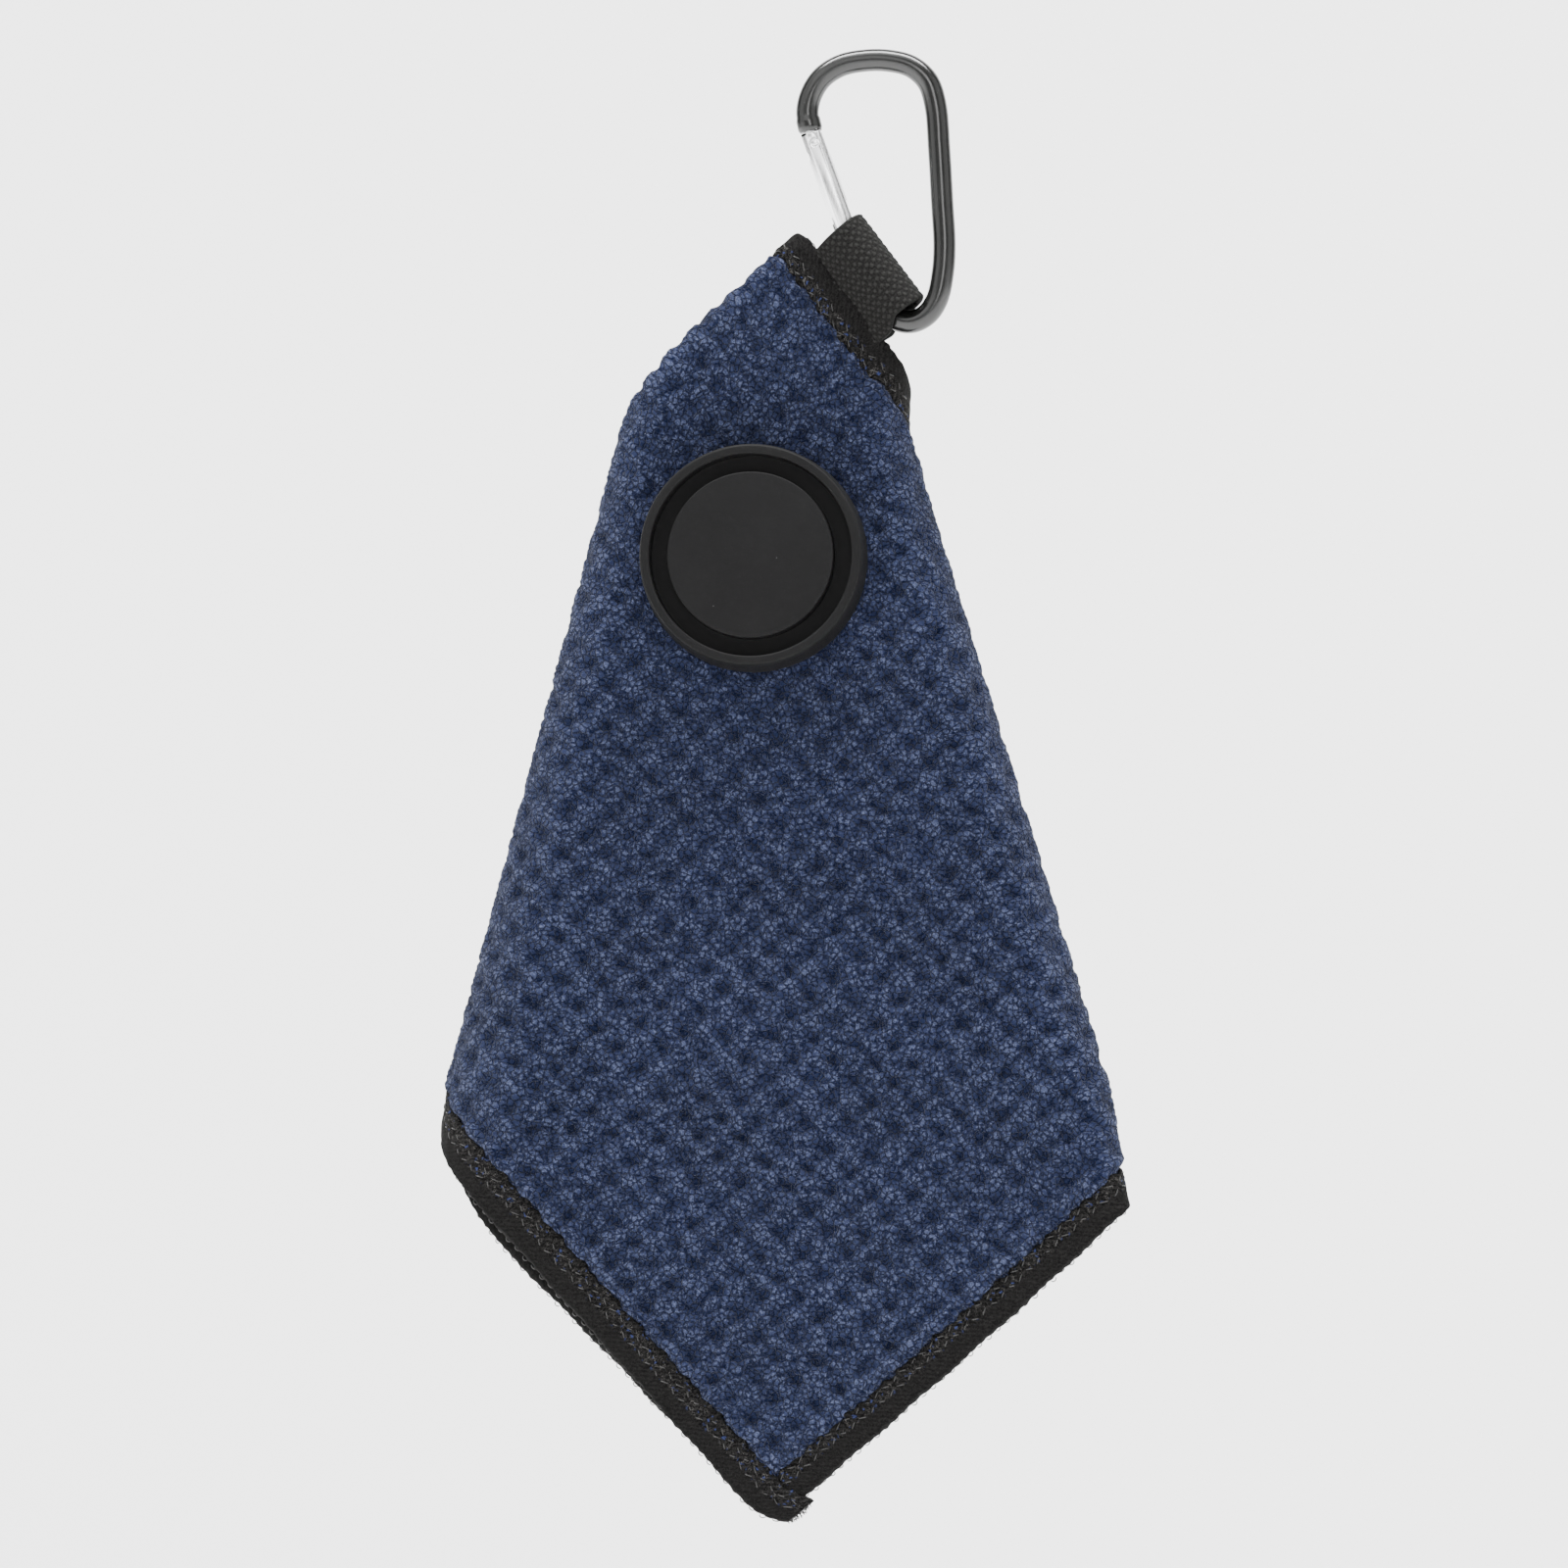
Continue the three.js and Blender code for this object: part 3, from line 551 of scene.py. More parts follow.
def hang(u, v, depth):
    """Where the towel hangs: squeezed between the pucks, and curled at both sides."""
    flat = on_plane(u, v)
    squeeze = 1 - CLAMP_SQUEEZE * (1 - smooth(np.hypot(*flat.T), CLAMP_INNER_R, CLAMP_OUTER_R))
    pressed = FOLD_R + (depth - FOLD_R) * squeeze
    placed = np.stack([flat[:, 0], FRONT_Y + pressed, flat[:, 1]], 1)
    for roll in (RIGHT_ROLL, LEFT_ROLL):
        curled, inside = roll.curl(flat, pressed)
        placed[inside] = curled[inside]
    return placed


def on_sheet(s, v, lift):
    """s runs along the cloth's middle from the front end, round the fold, to the back end."""
    s, v, lift = (np.asarray(x, float).ravel() for x in np.broadcast_arrays(s, v, lift))
    angle = np.clip((s - FOLD_U) / FOLD_R, 0, math.pi)
    radius = FOLD_R + lift
    before, after = np.minimum(s, FOLD_U), np.maximum(s - FOLD_U - FOLD_LENGTH, 0)
    u = before - after + radius * np.sin(angle)
    depth = FOLD_R - radius * np.cos(angle)
    run = smooth(u, BACK_END_U, BACK_END_U + BACK_SHIFT_RUN)
    shift = np.where(after > 0, BACK_END_SHIFT + (BACK_SHIFT - BACK_END_SHIFT) * run, BACK_SHIFT)
    return hang(u, v - smooth(angle, 0, math.pi) * shift, depth)


def scattered(u, v, size, seed):
    """Distance to the nearest of one scattered point for each square of that size, in squares."""
    gu, gv = u / size, v / size
    best = np.full(gu.shape, 9.0)
    for du in (-1, 0, 1):
        for dv in (-1, 0, 1):
            cu, cv = np.floor(gu) + du, np.floor(gv) + dv
            key = cu * 127.1 + cv * 311.7 + seed
            jitter_u = np.modf(np.abs(np.sin(key) * 43758.5453))[0]
            jitter_v = np.modf(np.abs(np.sin(key * 1.7 + 5.1) * 24634.6345))[0]
            best = np.minimum(best, np.hypot(gu - cu - jitter_u, gv - cv - jitter_v))
    return best


# ---- the waffle cloth ----------------------------------------------------------------------------

def pile(s, v):
    """Lift of the pile at flat positions on the cloth, and its crevice shade: painted shade that darkens the
    colour in the waffle dimples, the channels and the gaps between tufts.
    """
    flat = on_plane(s, v)
    taut = smooth(flat[:, 1], -25, 25) * (s < FOLD_U)
    wobble = 0.6 * np.sin(s * 0.23 + 1.3 * np.sin(v * 0.11)), 0.6 * np.sin(v * 0.27 + 1.1 * np.sin(s * 0.13))
    a = 0.5 + 0.5 * np.cos(2 * math.pi * (s + wobble[0]) / WAFFLE_PITCH)
    b = 0.5 + 0.5 * np.cos(2 * math.pi * (v + wobble[1]) / WAFFLE_PITCH)
    # uneven depth of the dimples, for their relief and their painted shade
    dimple_variation = np.clip(1.25 - scattered(s, v, 4.1, 21.0), 0.35, 1)
    dimple = (a * b) ** 1.5 * dimple_variation
    channel = 0.5 * (a ** 3 + b ** 3)
    tuft = np.clip(1 - (scattered(s, v, 1.45, 3.0) / 0.8) ** 2, 0, 1)
    small = np.clip(1 - (scattered(s, v, 0.95, 8.0) / 0.8) ** 2, 0, 1)
    strength = 1 - 0.4 * taut
    lift = 0.5 * tuft + 0.2 * small - (0.95 * dimple + 0.22 * channel) * strength
    on_back = s > FOLD_U
    centre = on_plane(np.where(on_back, 2 * FOLD_U + FOLD_LENGTH - s, s), v - BACK_SHIFT * on_back)
    pressed = 1 - smooth(np.hypot(centre[:, 0], centre[:, 1]), PUCK_R + 0.2, PUCK_R + 1.4)
    lift = np.minimum(lift, 1.0 - 0.85 * pressed)
    # painted shade: darker in the dimples, the channels and the gaps between tufts
    crevice = np.clip((0.75 * dimple + 0.2 * channel) * strength + 0.62 * (1 - tuft) ** 1.3, 0, 1)
    return lift, crevice


def cloth_rows():
    """Where the rows of points lie along the sheet, on its outer and on its inner face."""
    front = np.linspace(HEM_INSET, FOLD_U, 236)
    fold = FOLD_U + FOLD_LENGTH * np.arange(1, 9) / 9
    back = np.linspace(FOLD_U + FOLD_LENGTH, TOWEL_LENGTH - HEM_INSET, 80)
    inner_back = np.linspace(FOLD_U + FOLD_LENGTH, TOWEL_LENGTH - HEM_INSET, 28)
    inner = np.concatenate([np.linspace(HEM_INSET, FOLD_U, 34), fold[1::2], inner_back])
    return np.concatenate([front, fold, back]), inner


def cloth_lift(s, v, textured):
    """Half the cloth's thickness, thinned to the hem under the tapes, and its painted crevice shade."""
    lower = v - (LOWER_TAPE_WIDTH - TAPE_WIDTH)
    edge = np.minimum.reduce([s, TOWEL_LENGTH - s, lower, TOWEL_WIDTH - v])
    edge = edge + 0.35 * np.sin(s * 0.9 + v * 0.7) * (edge < 9)
    swell = smooth(edge, TAPE_WIDTH - 0.7, TAPE_WIDTH + 0.9)
    lift, crevice = pile(s, v) if textured else (np.full(s.shape, -0.1), np.zeros(s.shape))
    bead = 0.45 * np.exp(-((edge - TAPE_WIDTH - 0.9) / 1.0) ** 2) * textured
    return HEM_HALF + (CLOTH_HALF - HEM_HALF + lift * 0.85 + bead) * swell, crevice * swell


def add_cloth():
    outer_rows, inner_rows = cloth_rows()
    columns = np.linspace(HEM_INSET, TOWEL_WIDTH - HEM_INSET, 240)
    points, uv, crevices, faces, offset = [], [], [], [], 0
    for rows, side in ((outer_rows, 1), (inner_rows, -1)):
        s, v = (x.ravel() for x in np.meshgrid(rows, columns, indexing="ij"))
        lift, crevice = cloth_lift(s, v, side > 0)
        points.append(on_sheet(s, v, side * lift))
        uv.append(np.stack([v, s], 1))
        crevices.append(crevice)
        faces.append(grid_faces(len(rows), len(columns), offset, flip=side > 0))
        offset += len(s)
    count, inner = len(columns), len(outer_rows) * len(columns)
    for first, second in ((0, inner), (inner - count, offset - count)):
        a = np.arange(count - 1)
        faces.append(np.stack([first + a, first + a + 1, second + a + 1, second + a], 1))
    rims = rim_faces(outer_rows, inner_rows, count, inner)
    all_faces = np.concatenate(faces).tolist() + rims
    # the crevice shade attribute carries the painted shade to the terry's colour
    cloth = make_mesh("waffle_towel", np.concatenate(points), all_faces, TERRY, np.concatenate(uv),
                      crevice=np.concatenate(crevices), lining=np.arange(offset) >= inner)
    recalculate(cloth)
    return finish_piece(cloth, "towel", "blue_terry", "waffle_cloth")


def rim_faces(outer_rows, inner_rows, count, inner):
    """Closes the two long rims, hidden inside the tapes, between rows of unlike spacing."""
    faces = []
    for column in (0, count - 1):
        i, j = 0, 0
        while i < len(outer_rows) - 1 or j < len(inner_rows) - 1:
            a, b = i * count + column, inner + j * count + column
            step_outer = j == len(inner_rows) - 1 or (
                i < len(outer_rows) - 1 and outer_rows[i + 1] <= inner_rows[j + 1])
            if step_outer:
                faces.append([a, a + count, b])
                i += 1
            else:
                faces.append([a, b + count, b])
                j += 1
    return faces


# ---- binding tapes -------------------------------------------------------------------------------

SCALLOP_PITCH, PUCKER_PITCH = 2.3, 1.9
TUCK = 1.0               # the end tapes run under the long ones by this much
POINT_STEP = 0.55        # between points along a tape
STITCH_ROWS = ((3.5, 4.4), (5.05, 5.85))    # both ends of a stitch, from the tape's fold
STITCH_R, LOOP_THREAD_R, FRAY_R = 0.11, 0.095, 0.07
FRAY_COUNT = 70


def tape_profile(width):
    """Distance from the tape's fold, and side, round the U from its front lip to its back lip."""
    flat = np.linspace(width, 1.3, 13)
    outside = [(x, 1.0) for x in flat]
    turn = [(0.75 - 0.75 * math.sin(a), math.cos(a)) for a in np.linspace(0.25, math.pi - 0.25, 7)]
    back = [(x, -1.0) for x in flat[::-1]]
    return np.array(outside + turn + back)


def tape_piece(name, node, path_s, path_v, inward_s, inward_v, phase, width=TAPE_WIDTH):
    """A tape along path points (s, v) on the cloth; inward is the flat direction away from its fold."""
    profile = tape_profile(width)
    length = np.concatenate([[0], np.cumsum(np.hypot(np.diff(path_s), np.diff(path_v)))])
    t, x = np.meshgrid(length, profile[:, 0], indexing="ij")
    side = np.broadcast_to(profile[:, 1], t.shape)
    scallop = 0.5 + 0.5 * np.cos(2 * math.pi * (t + phase + 0.7 * np.sin(t * 0.31)) / SCALLOP_PITCH)
    near_fold = np.clip(1 - x / 1.6, 0, 1)
    inset = near_fold * (0.2 * scallop + 0.12 * np.sin(t * 0.41 + phase))
    near_lip = np.clip((x - width + 0.6) / 0.6, 0, 1)
    lip = near_lip * (0.28 * np.sin(t * 2.1 + phase) + 0.2 * np.sin(t * 0.9 + 2 * phase))
    rows = sum(np.exp(-((x - at) / 0.35) ** 2) for at in (4.0, 5.5))
    pucker = 0.5 + 0.5 * np.cos(2 * math.pi * (t + phase) / PUCKER_PITCH)
    crease = 0.07 * np.sin(t * 0.63 + x * 0.9 + phase) + 0.05 * np.sin(t * 1.31 - x * 1.7)
    lump = 0.10 * np.clip(1 - (scattered(t, x + phase * 3, 1.1, 2.0 + phase) / 0.8) ** 2, 0, 1)
    stitched = smooth(x, 3.2, 4.2)
    swell = crease + lump * (0.4 + stitched) - 0.22 * rows * pucker - 0.3 * near_lip
    tucked = 0.4 * (1 - smooth(np.minimum(t, length[-1] - t), 0.6, 2.2)) * (inward_s != 0)
    half = (TAPE_HALF + swell - tucked) * side
    inner = np.sign(side) * (TAPE_INSIDE_HALF - 0.12 * near_lip - 0.2 * (tucked > 0))
    distance = x + inset + lip
    outer_points = lay(path_s, path_v, inward_s, inward_v, distance, half)
    inner_distance = np.maximum(distance, 0.65)
    inner_points = lay(path_s, path_v, inward_s, inward_v, inner_distance,
                       np.where(np.abs(side) > 0.99, inner, TAPE_INSIDE_HALF * side))
    ring = profile.shape[0]
    rings = np.concatenate([outer_points.reshape(len(length), ring, 3),
                            inner_points.reshape(len(length), ring, 3)[:, ::-1]], 1)
    flat = np.stack([np.broadcast_to(x, t.shape) + 10 * (side < 0), t], 2)
    uv = np.concatenate([flat, flat[:, ::-1]], 1).reshape(-1, 2)
    band = np.concatenate([stitched, stitched[:, ::-1]], 1).ravel()
    faces = ring_faces(len(length), 2 * ring).tolist()
    last = (len(length) - 1) * 2 * ring
    for k in range(ring - 1):
        a, b, c, d = k, k + 1, 2 * ring - 2 - k, 2 * ring - 1 - k
        faces.append([a, b, c, d])
        faces.append([last + d, last + c, last + b, last + a])
    tape = make_mesh(name, rings.reshape(-1, 3), faces, TAPE, uv, stitched=band)
    recalculate(tape)
    return finish_piece(tape, "towel", "binding_tape", node)


def lay(path_s, path_v, inward_s, inward_v, distance, lift):
    """Points at a distance inward from the path, lifted off the middle of the cloth."""
    s = path_s[:, None] + inward_s * distance
    v = path_v[:, None] + inward_v * distance
    return on_sheet(s, v, lift)


def tape_paths():
    """For each tape: its CAD node, path s and v, inward s and v, phase of its ripples, and a width."""
    long_s = np.arange(-STUB, TOWEL_LENGTH + 0.1, POINT_STEP)
    short_v = np.arange(LOWER_TAPE_WIDTH - TUCK, TOWEL_WIDTH - TAPE_WIDTH + TUCK, POINT_STEP)
    return {
        "lower_tape": ("binding_lower_edge", long_s, np.zeros(len(long_s)), 0, 1, 0.0,
                       LOWER_TAPE_WIDTH),
        "loop_tape": ("binding_loop_edge", long_s[3:], np.full(len(long_s) - 3, TOWEL_WIDTH), 0, -1, 1.1),
        "front_end_tape": ("binding_front_end", np.zeros(len(short_v)), short_v, 1, 0, 2.3),
        "back_end_tape": ("binding_back_end", np.full(len(short_v), TOWEL_LENGTH), short_v, -1, 0, 3.1),
    }


def add_tapes():
    return [tape_piece(name, *facts) for name, facts in tape_paths().items()]


def tube_through(centres, radius, sides=5):
    """Points and faces of a thin closed tube through centres, in millimetres."""
    centres = np.asarray(centres, float)
    along = np.gradient(centres, axis=0)
    along /= np.linalg.norm(along, axis=1)[:, None] + 1e-12
    guide = np.array([0.0, 1.0, 0.0]) if abs(along[0][1]) < 0.8 else np.array([1.0, 0.0, 0.0])
    across = np.cross(along, guide)
    across /= np.linalg.norm(across, axis=1)[:, None] + 1e-12
    other = np.cross(along, across)
    angles = 2 * math.pi * np.arange(sides) / sides
    radii = np.full(len(centres), radius)
    radii[[0, -1]] *= 0.55
    rings = (centres[:, None] + radii[:, None, None] * (
        np.cos(angles)[None, :, None] * across[:, None] + np.sin(angles)[None, :, None] * other[:, None]))
    return rings.reshape(-1, 3), ring_faces(len(centres), sides).tolist() + end_caps(len(centres), sides)


def join_tubes(name, tubes, material):
    """One mesh of many thin tubes."""
    points, faces, offset = [], [], 0
    for tube_points, tube_faces in tubes:
        points.append(tube_points)
        faces += [[i + offset for i in face] for face in tube_faces]
        offset += len(tube_points)
    piece = make_mesh(name, np.concatenate(points), faces, material)
    recalculate(piece)
    return piece


def add_stitches():
    """Two rows of slanting stitches on both faces of each tape, and small loops of thread on its fold."""
    stitches, loops = [], []
    for name, (_, path_s, path_v, inward_s, inward_v, phase, *_) in tape_paths().items():
        step = 4 if name in ("lower_tape", "front_end_tape", "loop_tape") else 6
        for k in range(2, len(path_s) - 4, step):
            wander = 0.16 * math.sin(k * 1.7 + phase)
            for row, (low, high) in enumerate(STITCH_ROWS):
                low, high = (low, high) if (k // step + row) % 2 else (high, low)
                for side in (1, -1):
                    t = np.array([0.0, 0.35, 0.65, 1.0])
                    distance = low + (high - low) * t + wander
                    along = np.array([path_s[k], path_v[k]])[:, None] + np.array(
                        [path_s[k + 3] - path_s[k], path_v[k + 3] - path_v[k]])[:, None] * t
                    lift = side * (TAPE_HALF + np.array([-0.22, 0.07, 0.07, -0.22]))
                    centres = on_sheet(along[0] + inward_s * distance, along[1] + inward_v * distance, lift)
                    stitches.append(tube_through(centres, STITCH_R))
            angle = np.linspace(0.15, math.pi - 0.15, 6)
            reach = 0.34 + 0.12 * math.sin(k * 2.3)
            s = path_s[k] + (path_s[k + 2] - path_s[k]) * (0.5 - 0.5 * np.cos(angle))
            v = path_v[k] + (path_v[k + 2] - path_v[k]) * (0.5 - 0.5 * np.cos(angle))
            out = 0.25 - (reach + 0.1) * np.sin(angle)
            centres = on_sheet(s + inward_s * out, v + inward_v * out, 0.5 * math.sin(k * 0.9))
            loops.append(tube_through(centres, LOOP_THREAD_R, sides=4))
    for name, tubes in (("tape_stitching", stitches), ("edge_thread_loops", loops)):
        finish_piece(join_tubes(name, tubes, THREAD), "towel", "binding_tape")


def add_fray():
    """Loose fibres at the cut end of the lower tape."""
    random = np.random.default_rng(11)
    tubes = []
    for _ in range(FRAY_COUNT):
        v, lift = random.uniform(0.6, TAPE_WIDTH), random.uniform(-1.3, 1.3)
        reach, drift = random.uniform(0.5, 1.5), random.uniform(-0.7, 0.7, 2)
        t = np.linspace(0, 1, 5)
        s = -STUB + 0.5 - reach * t
        centres = on_sheet(s, v + drift[0] * t ** 2, lift + drift[1] * t ** 2)
        tubes.append(tube_through(centres, FRAY_R, sides=4))
    finish_piece(join_tubes("frayed_tape_end", tubes, THREAD), "towel", "binding_tape")


cloth = add_cloth()
tapes = add_tapes()
add_stitches()
add_fray()


# ---- webbing loop --------------------------------------------------------------------------------

WEAVE = 0.75
WEBBING_HALF, RIBBON_HALF, RIBBON_REACH = 0.30, 10.0, 9.2


def loop_line():
    """The ribbon's middle line seen along its width: out of the edge, towards the front."""
    knots = np.array([(-2.4, 0.78), (-0.6, 0.95), (0.7, 1.9), (2.2, 3.6), (4.6, 4.4), (6.8, 4.3),
                      (8.6, 2.9), (9.5, 0.0)])
    full = np.concatenate([knots, knots[-2::-1] * [1, -1]])
    spans = np.concatenate([[0], np.cumsum(np.hypot(*np.diff(full, axis=0).T))])
    count = 150
    t = np.linspace(0, spans[-1], count)
    fine = np.stack([np.interp(t, spans, full[:, k]) for k in (0, 1)], 1)
    kernel = np.hanning(17) / np.hanning(17).sum()
    padded = np.pad(fine, ((8, 8), (0, 0)), mode="edge")
    return np.stack([np.convolve(padded[:, k], kernel, mode="valid") for k in (0, 1)], 1), t


def add_webbing():
    """The ribbon, sewn to the towel at one end of its bend and following the loop at the other."""
    line, along = loop_line()
    tangent = np.gradient(line, axis=0)
    tangent /= np.linalg.norm(tangent, axis=1)[:, None]
    normal = np.stack([-tangent[:, 1], tangent[:, 0]], 1)
    normal *= np.sign(np.sum(normal * (line - [4.5, 0]), axis=1))[:, None]
    across = np.linspace(-1, 1, 105)
    out = np.clip(line[:, 0] / RIBBON_REACH, 0, 1)
    upper, lower = -RIBBON_HALF - 0.45 * out, RIBBON_HALF - 1.7 * smooth(out, 0.1, 0.45)
    width = upper[:, None] + (lower - upper)[:, None] * (0.5 + 0.5 * across[None, :])
    a = np.sin(math.pi * (width + 0.12 * np.sin(along[:, None] * 4.2)) / WEAVE)
    b = np.sin(math.pi * along[:, None] / WEAVE)
    weave = 0.5 + 0.5 * np.clip(1.6 * a * b, -1, 1)
    knuckle = np.abs(a) ** 0.7 * np.abs(b) ** 0.7
    edge = smooth(1 - np.abs(across)[None, :] + 0 * width, 0.0, 0.035)
    thickness = WEBBING_HALF + (0.13 * weave + 0.10 * knuckle) * edge
    thickness = thickness * (0.45 + 0.55 * edge)
    points, uv, levels = [], [], []
    for side in (1, -1):
        place_in = line[:, None, :] + side * thickness[:, :, None] * normal[:, None, :]
        points.append((LOOP_ROOT + place_in[:, :, 0:1] * LOOP_OUT + place_in[:, :, 1:2] * [0, -1, 0]
                       + width[:, :, None] * LOOP_ACROSS).reshape(-1, 3))
        flat = np.stack([width + 40 * side, np.broadcast_to(along[:, None], width.shape)], 2)
        uv.append(flat.reshape(-1, 2))
        levels.append((0.55 * weave + 0.45 * knuckle).ravel())
    rows, columns = width.shape
    half = rows * columns
    faces = grid_faces(rows, columns).tolist() + grid_faces(rows, columns, half, flip=True).tolist()
    border = [k for k in range(columns)] + [columns - 1 + columns * k for k in range(1, rows)]
    border += [half - 2 - k for k in range(columns - 1)] + [columns * k for k in range(rows - 2, 0, -1)]
    for a, b in zip(border, border[1:] + border[:1]):
        faces.append([a, b, half + b, half + a])
    loop = make_mesh("webbing_ribbon", np.concatenate(points), faces, WEBBING, np.concatenate(uv),
                     weave=np.concatenate(levels))
    recalculate(loop)
    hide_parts("webbing_loop")
    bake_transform(loop)
    return loop


add_webbing()


# ---- carabiner -----------------------------------------------------------------------------------

ROUTE = [(9.9, 75.7), (9.3, 79.3), (10.1, 82.6), (12, 85.4), (15.2, 87.4), (19, 88.2), (23.4, 88.2),
         (27.6, 87.1), (30.5, 84.5), (31.9, 80.4), (32.6, 72), (33.1, 63), (33.5, 55.2), (33.2, 50.4),
         (32.2, 45.8), (30.4, 43.1), (27.7, 41.8), (24.8, 42.4), (22.3, 45.9), (19.6, 50.9)]


def between(a, b, start, end, t):
    return ((end - t) * a + (t - start) * b) / (end - start)


def catmull(points, per_span):
    """A centripetal curve through points."""
    points = np.asarray(points, float)
    ends = np.vstack([2 * points[0] - points[1], points, 2 * points[-1] - points[-2]])
    curve = []
    for p0, p1, p2, p3 in zip(ends, ends[1:], ends[2:], ends[3:]):
        spans = [math.sqrt(np.linalg.norm(b - a)) for a, b in ((p0, p1), (p1, p2), (p2, p3))]
        knots = np.cumsum([0] + spans)
        for t in np.linspace(knots[1], knots[2], per_span, endpoint=False):
            first = between(p0, p1, knots[0], knots[1], t)
            second = between(p1, p2, knots[1], knots[2], t)
            third = between(p2, p3, knots[2], knots[3], t)
            before = between(first, second, knots[0], knots[2], t)
            after = between(second, third, knots[1], knots[3], t)
            curve.append(between(before, after, knots[1], knots[2], t))
    curve.append(points[-1])
    return np.array(curve)


def add_rod():
    """The round rod, with a slightly thicker collar at the nose and a rounded edge at each end."""
    route = catmull(ROUTE + [tuple(GATE_PIN - SHOULDER * GATE_UP)], 7)
    centres = np.stack([route[:, 0], np.full(len(route), FRONT_Y), route[:, 1]], 1)
    along = np.gradient(centres, axis=0)
    along /= np.linalg.norm(along, axis=1)[:, None]
    across = np.cross(along, [0.0, 1.0, 0.0])
    angles = 2 * math.pi * np.arange(ROD_SIDES) / ROD_SIDES
    travelled = np.concatenate([[0], np.cumsum(np.linalg.norm(np.diff(centres, axis=0), axis=1))])
    radii = ROD_R * (0.93 + 0.15 * smooth(travelled, 0, 0.3) - 0.08 * smooth(travelled, 2.4, 2.6))
    radii *= 0.94 + 0.06 * smooth(travelled[-1] - travelled, 0, 0.3)
    rings = centres[:, None] + radii[:, None, None] * (
        np.cos(angles)[None, :, None] * across[:, None]
        + np.sin(angles)[None, :, None] * np.array([0.0, 1.0, 0.0]))
    faces = ring_faces(len(centres), ROD_SIDES).tolist() + end_caps(len(centres), ROD_SIDES)
    rod = make_mesh("carabiner_rod", rings.reshape(-1, 3), faces, ANODISED)
    recalculate(rod)
    select_only(rod)
    bpy.ops.object.shade_smooth_by_angle(angle=40 * DEG)
    return rod


def copy_of_node(node, name, material, bevel=0.0):
    """A merged, smoothed copy of a CAD node."""
    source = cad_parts[node]
    piece = bpy.data.objects.new(name, source.data.copy())
    bpy.context.scene.collection.objects.link(piece)
    piece.data.materials.clear()
    piece.data.materials.append(material)
    select_only(piece)
    bpy.ops.object.mode_set(mode="EDIT")
    bpy.ops.mesh.select_all(action="SELECT")
    bpy.ops.mesh.remove_doubles(threshold=1e-6)
    bpy.ops.mesh.tris_convert_to_quads()
    bpy.ops.object.mode_set(mode="OBJECT")
    if bevel:
        modifier = piece.modifiers.new("bevel", "BEVEL")
        modifier.width, modifier.segments, modifier.limit_method = bevel * MM, 2, "ANGLE"
        modifier.angle_limit = 50 * DEG
        bpy.ops.object.modifier_apply(modifier=modifier.name)
    bpy.ops.object.shade_smooth_by_angle(angle=40 * DEG)
    return piece


def add_carabiner():
    rod = add_rod()
    ends = copy_of_node("carabiner_body", "carabiner_ends", ANODISED)
    trim_to_ends(ends)
    finish_piece(rod, "carabiner", "black_anodised", "carabiner_body")
    finish_piece(ends, "carabiner", "black_anodised")
    gate = copy_of_node("carabiner_gate", "gate_tube", ALUMINIUM, bevel=0.12)
    finish_piece(gate, "gate", "polished_aluminium", "carabiner_gate")
    for node, name, body in (("gate_hinge_pin", "hinge_pin", "carabiner"),
                             ("gate_latch_pin", "latch_pin", "gate")):
        pin = copy_of_node(node, name, ALUMINIUM, bevel=0.08)
        finish_piece(pin, body, "polished_aluminium", node)
    for node, name, body in (("gate_plunger", "plunger", "plunger"), ("gate_spring", "return_spring", "gate")):
        finish_piece(copy_of_node(node, name, STEEL), body, "spring_steel", node)
    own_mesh(bpy.data.objects["return_spring"])


CUT_OVERLAP = 0.02       # how far the ends reach into the rod
SPINE_SIDE_X = 23.5      # right of this lies the spine


def trim_to_ends(piece):
    """Keeps the hook at the nose and the flattened tongue at the hinge, and leaves the round rod out."""
    select_only(piece)
    direction = (GATE_UP[0], 0, GATE_UP[1])
    nose, pin = (Vector((p[0], FRONT_Y, p[1])) * MM for p in (NOSE, GATE_PIN))
    nose_height = (nose - pin).dot(Vector(direction))
    bpy.ops.object.mode_set(mode="EDIT")
    top, bottom = nose_height - CUT_OVERLAP * MM, (CUT_OVERLAP - SHOULDER) * MM
    for height, clear_above in ((top, True), (bottom, False)):
        bpy.ops.mesh.select_all(action="SELECT")
        bpy.ops.mesh.bisect(plane_co=pin + Vector(direction) * height, plane_no=direction, use_fill=True,
                            clear_outer=clear_above, clear_inner=not clear_above)
    bpy.ops.object.mode_set(mode="OBJECT")
    remove_far_side(piece)


def remove_far_side(piece):
    """Deletes the loose parts that lie on the spine's side."""
    select_only(piece)
    bpy.ops.object.mode_set(mode="EDIT")
    bpy.ops.mesh.select_all(action="DESELECT")
    bpy.ops.object.mode_set(mode="OBJECT")
    for vertex in piece.data.vertices:
        vertex.select = vertex.co.x > SPINE_SIDE_X * MM
    bpy.ops.object.mode_set(mode="EDIT")
    bpy.ops.mesh.select_mode(type="VERT")
    bpy.ops.mesh.delete(type="VERT")
    bpy.ops.object.mode_set(mode="OBJECT")


add_carabiner()


# ---- pucks ---------------------------------------------------------------------------------------

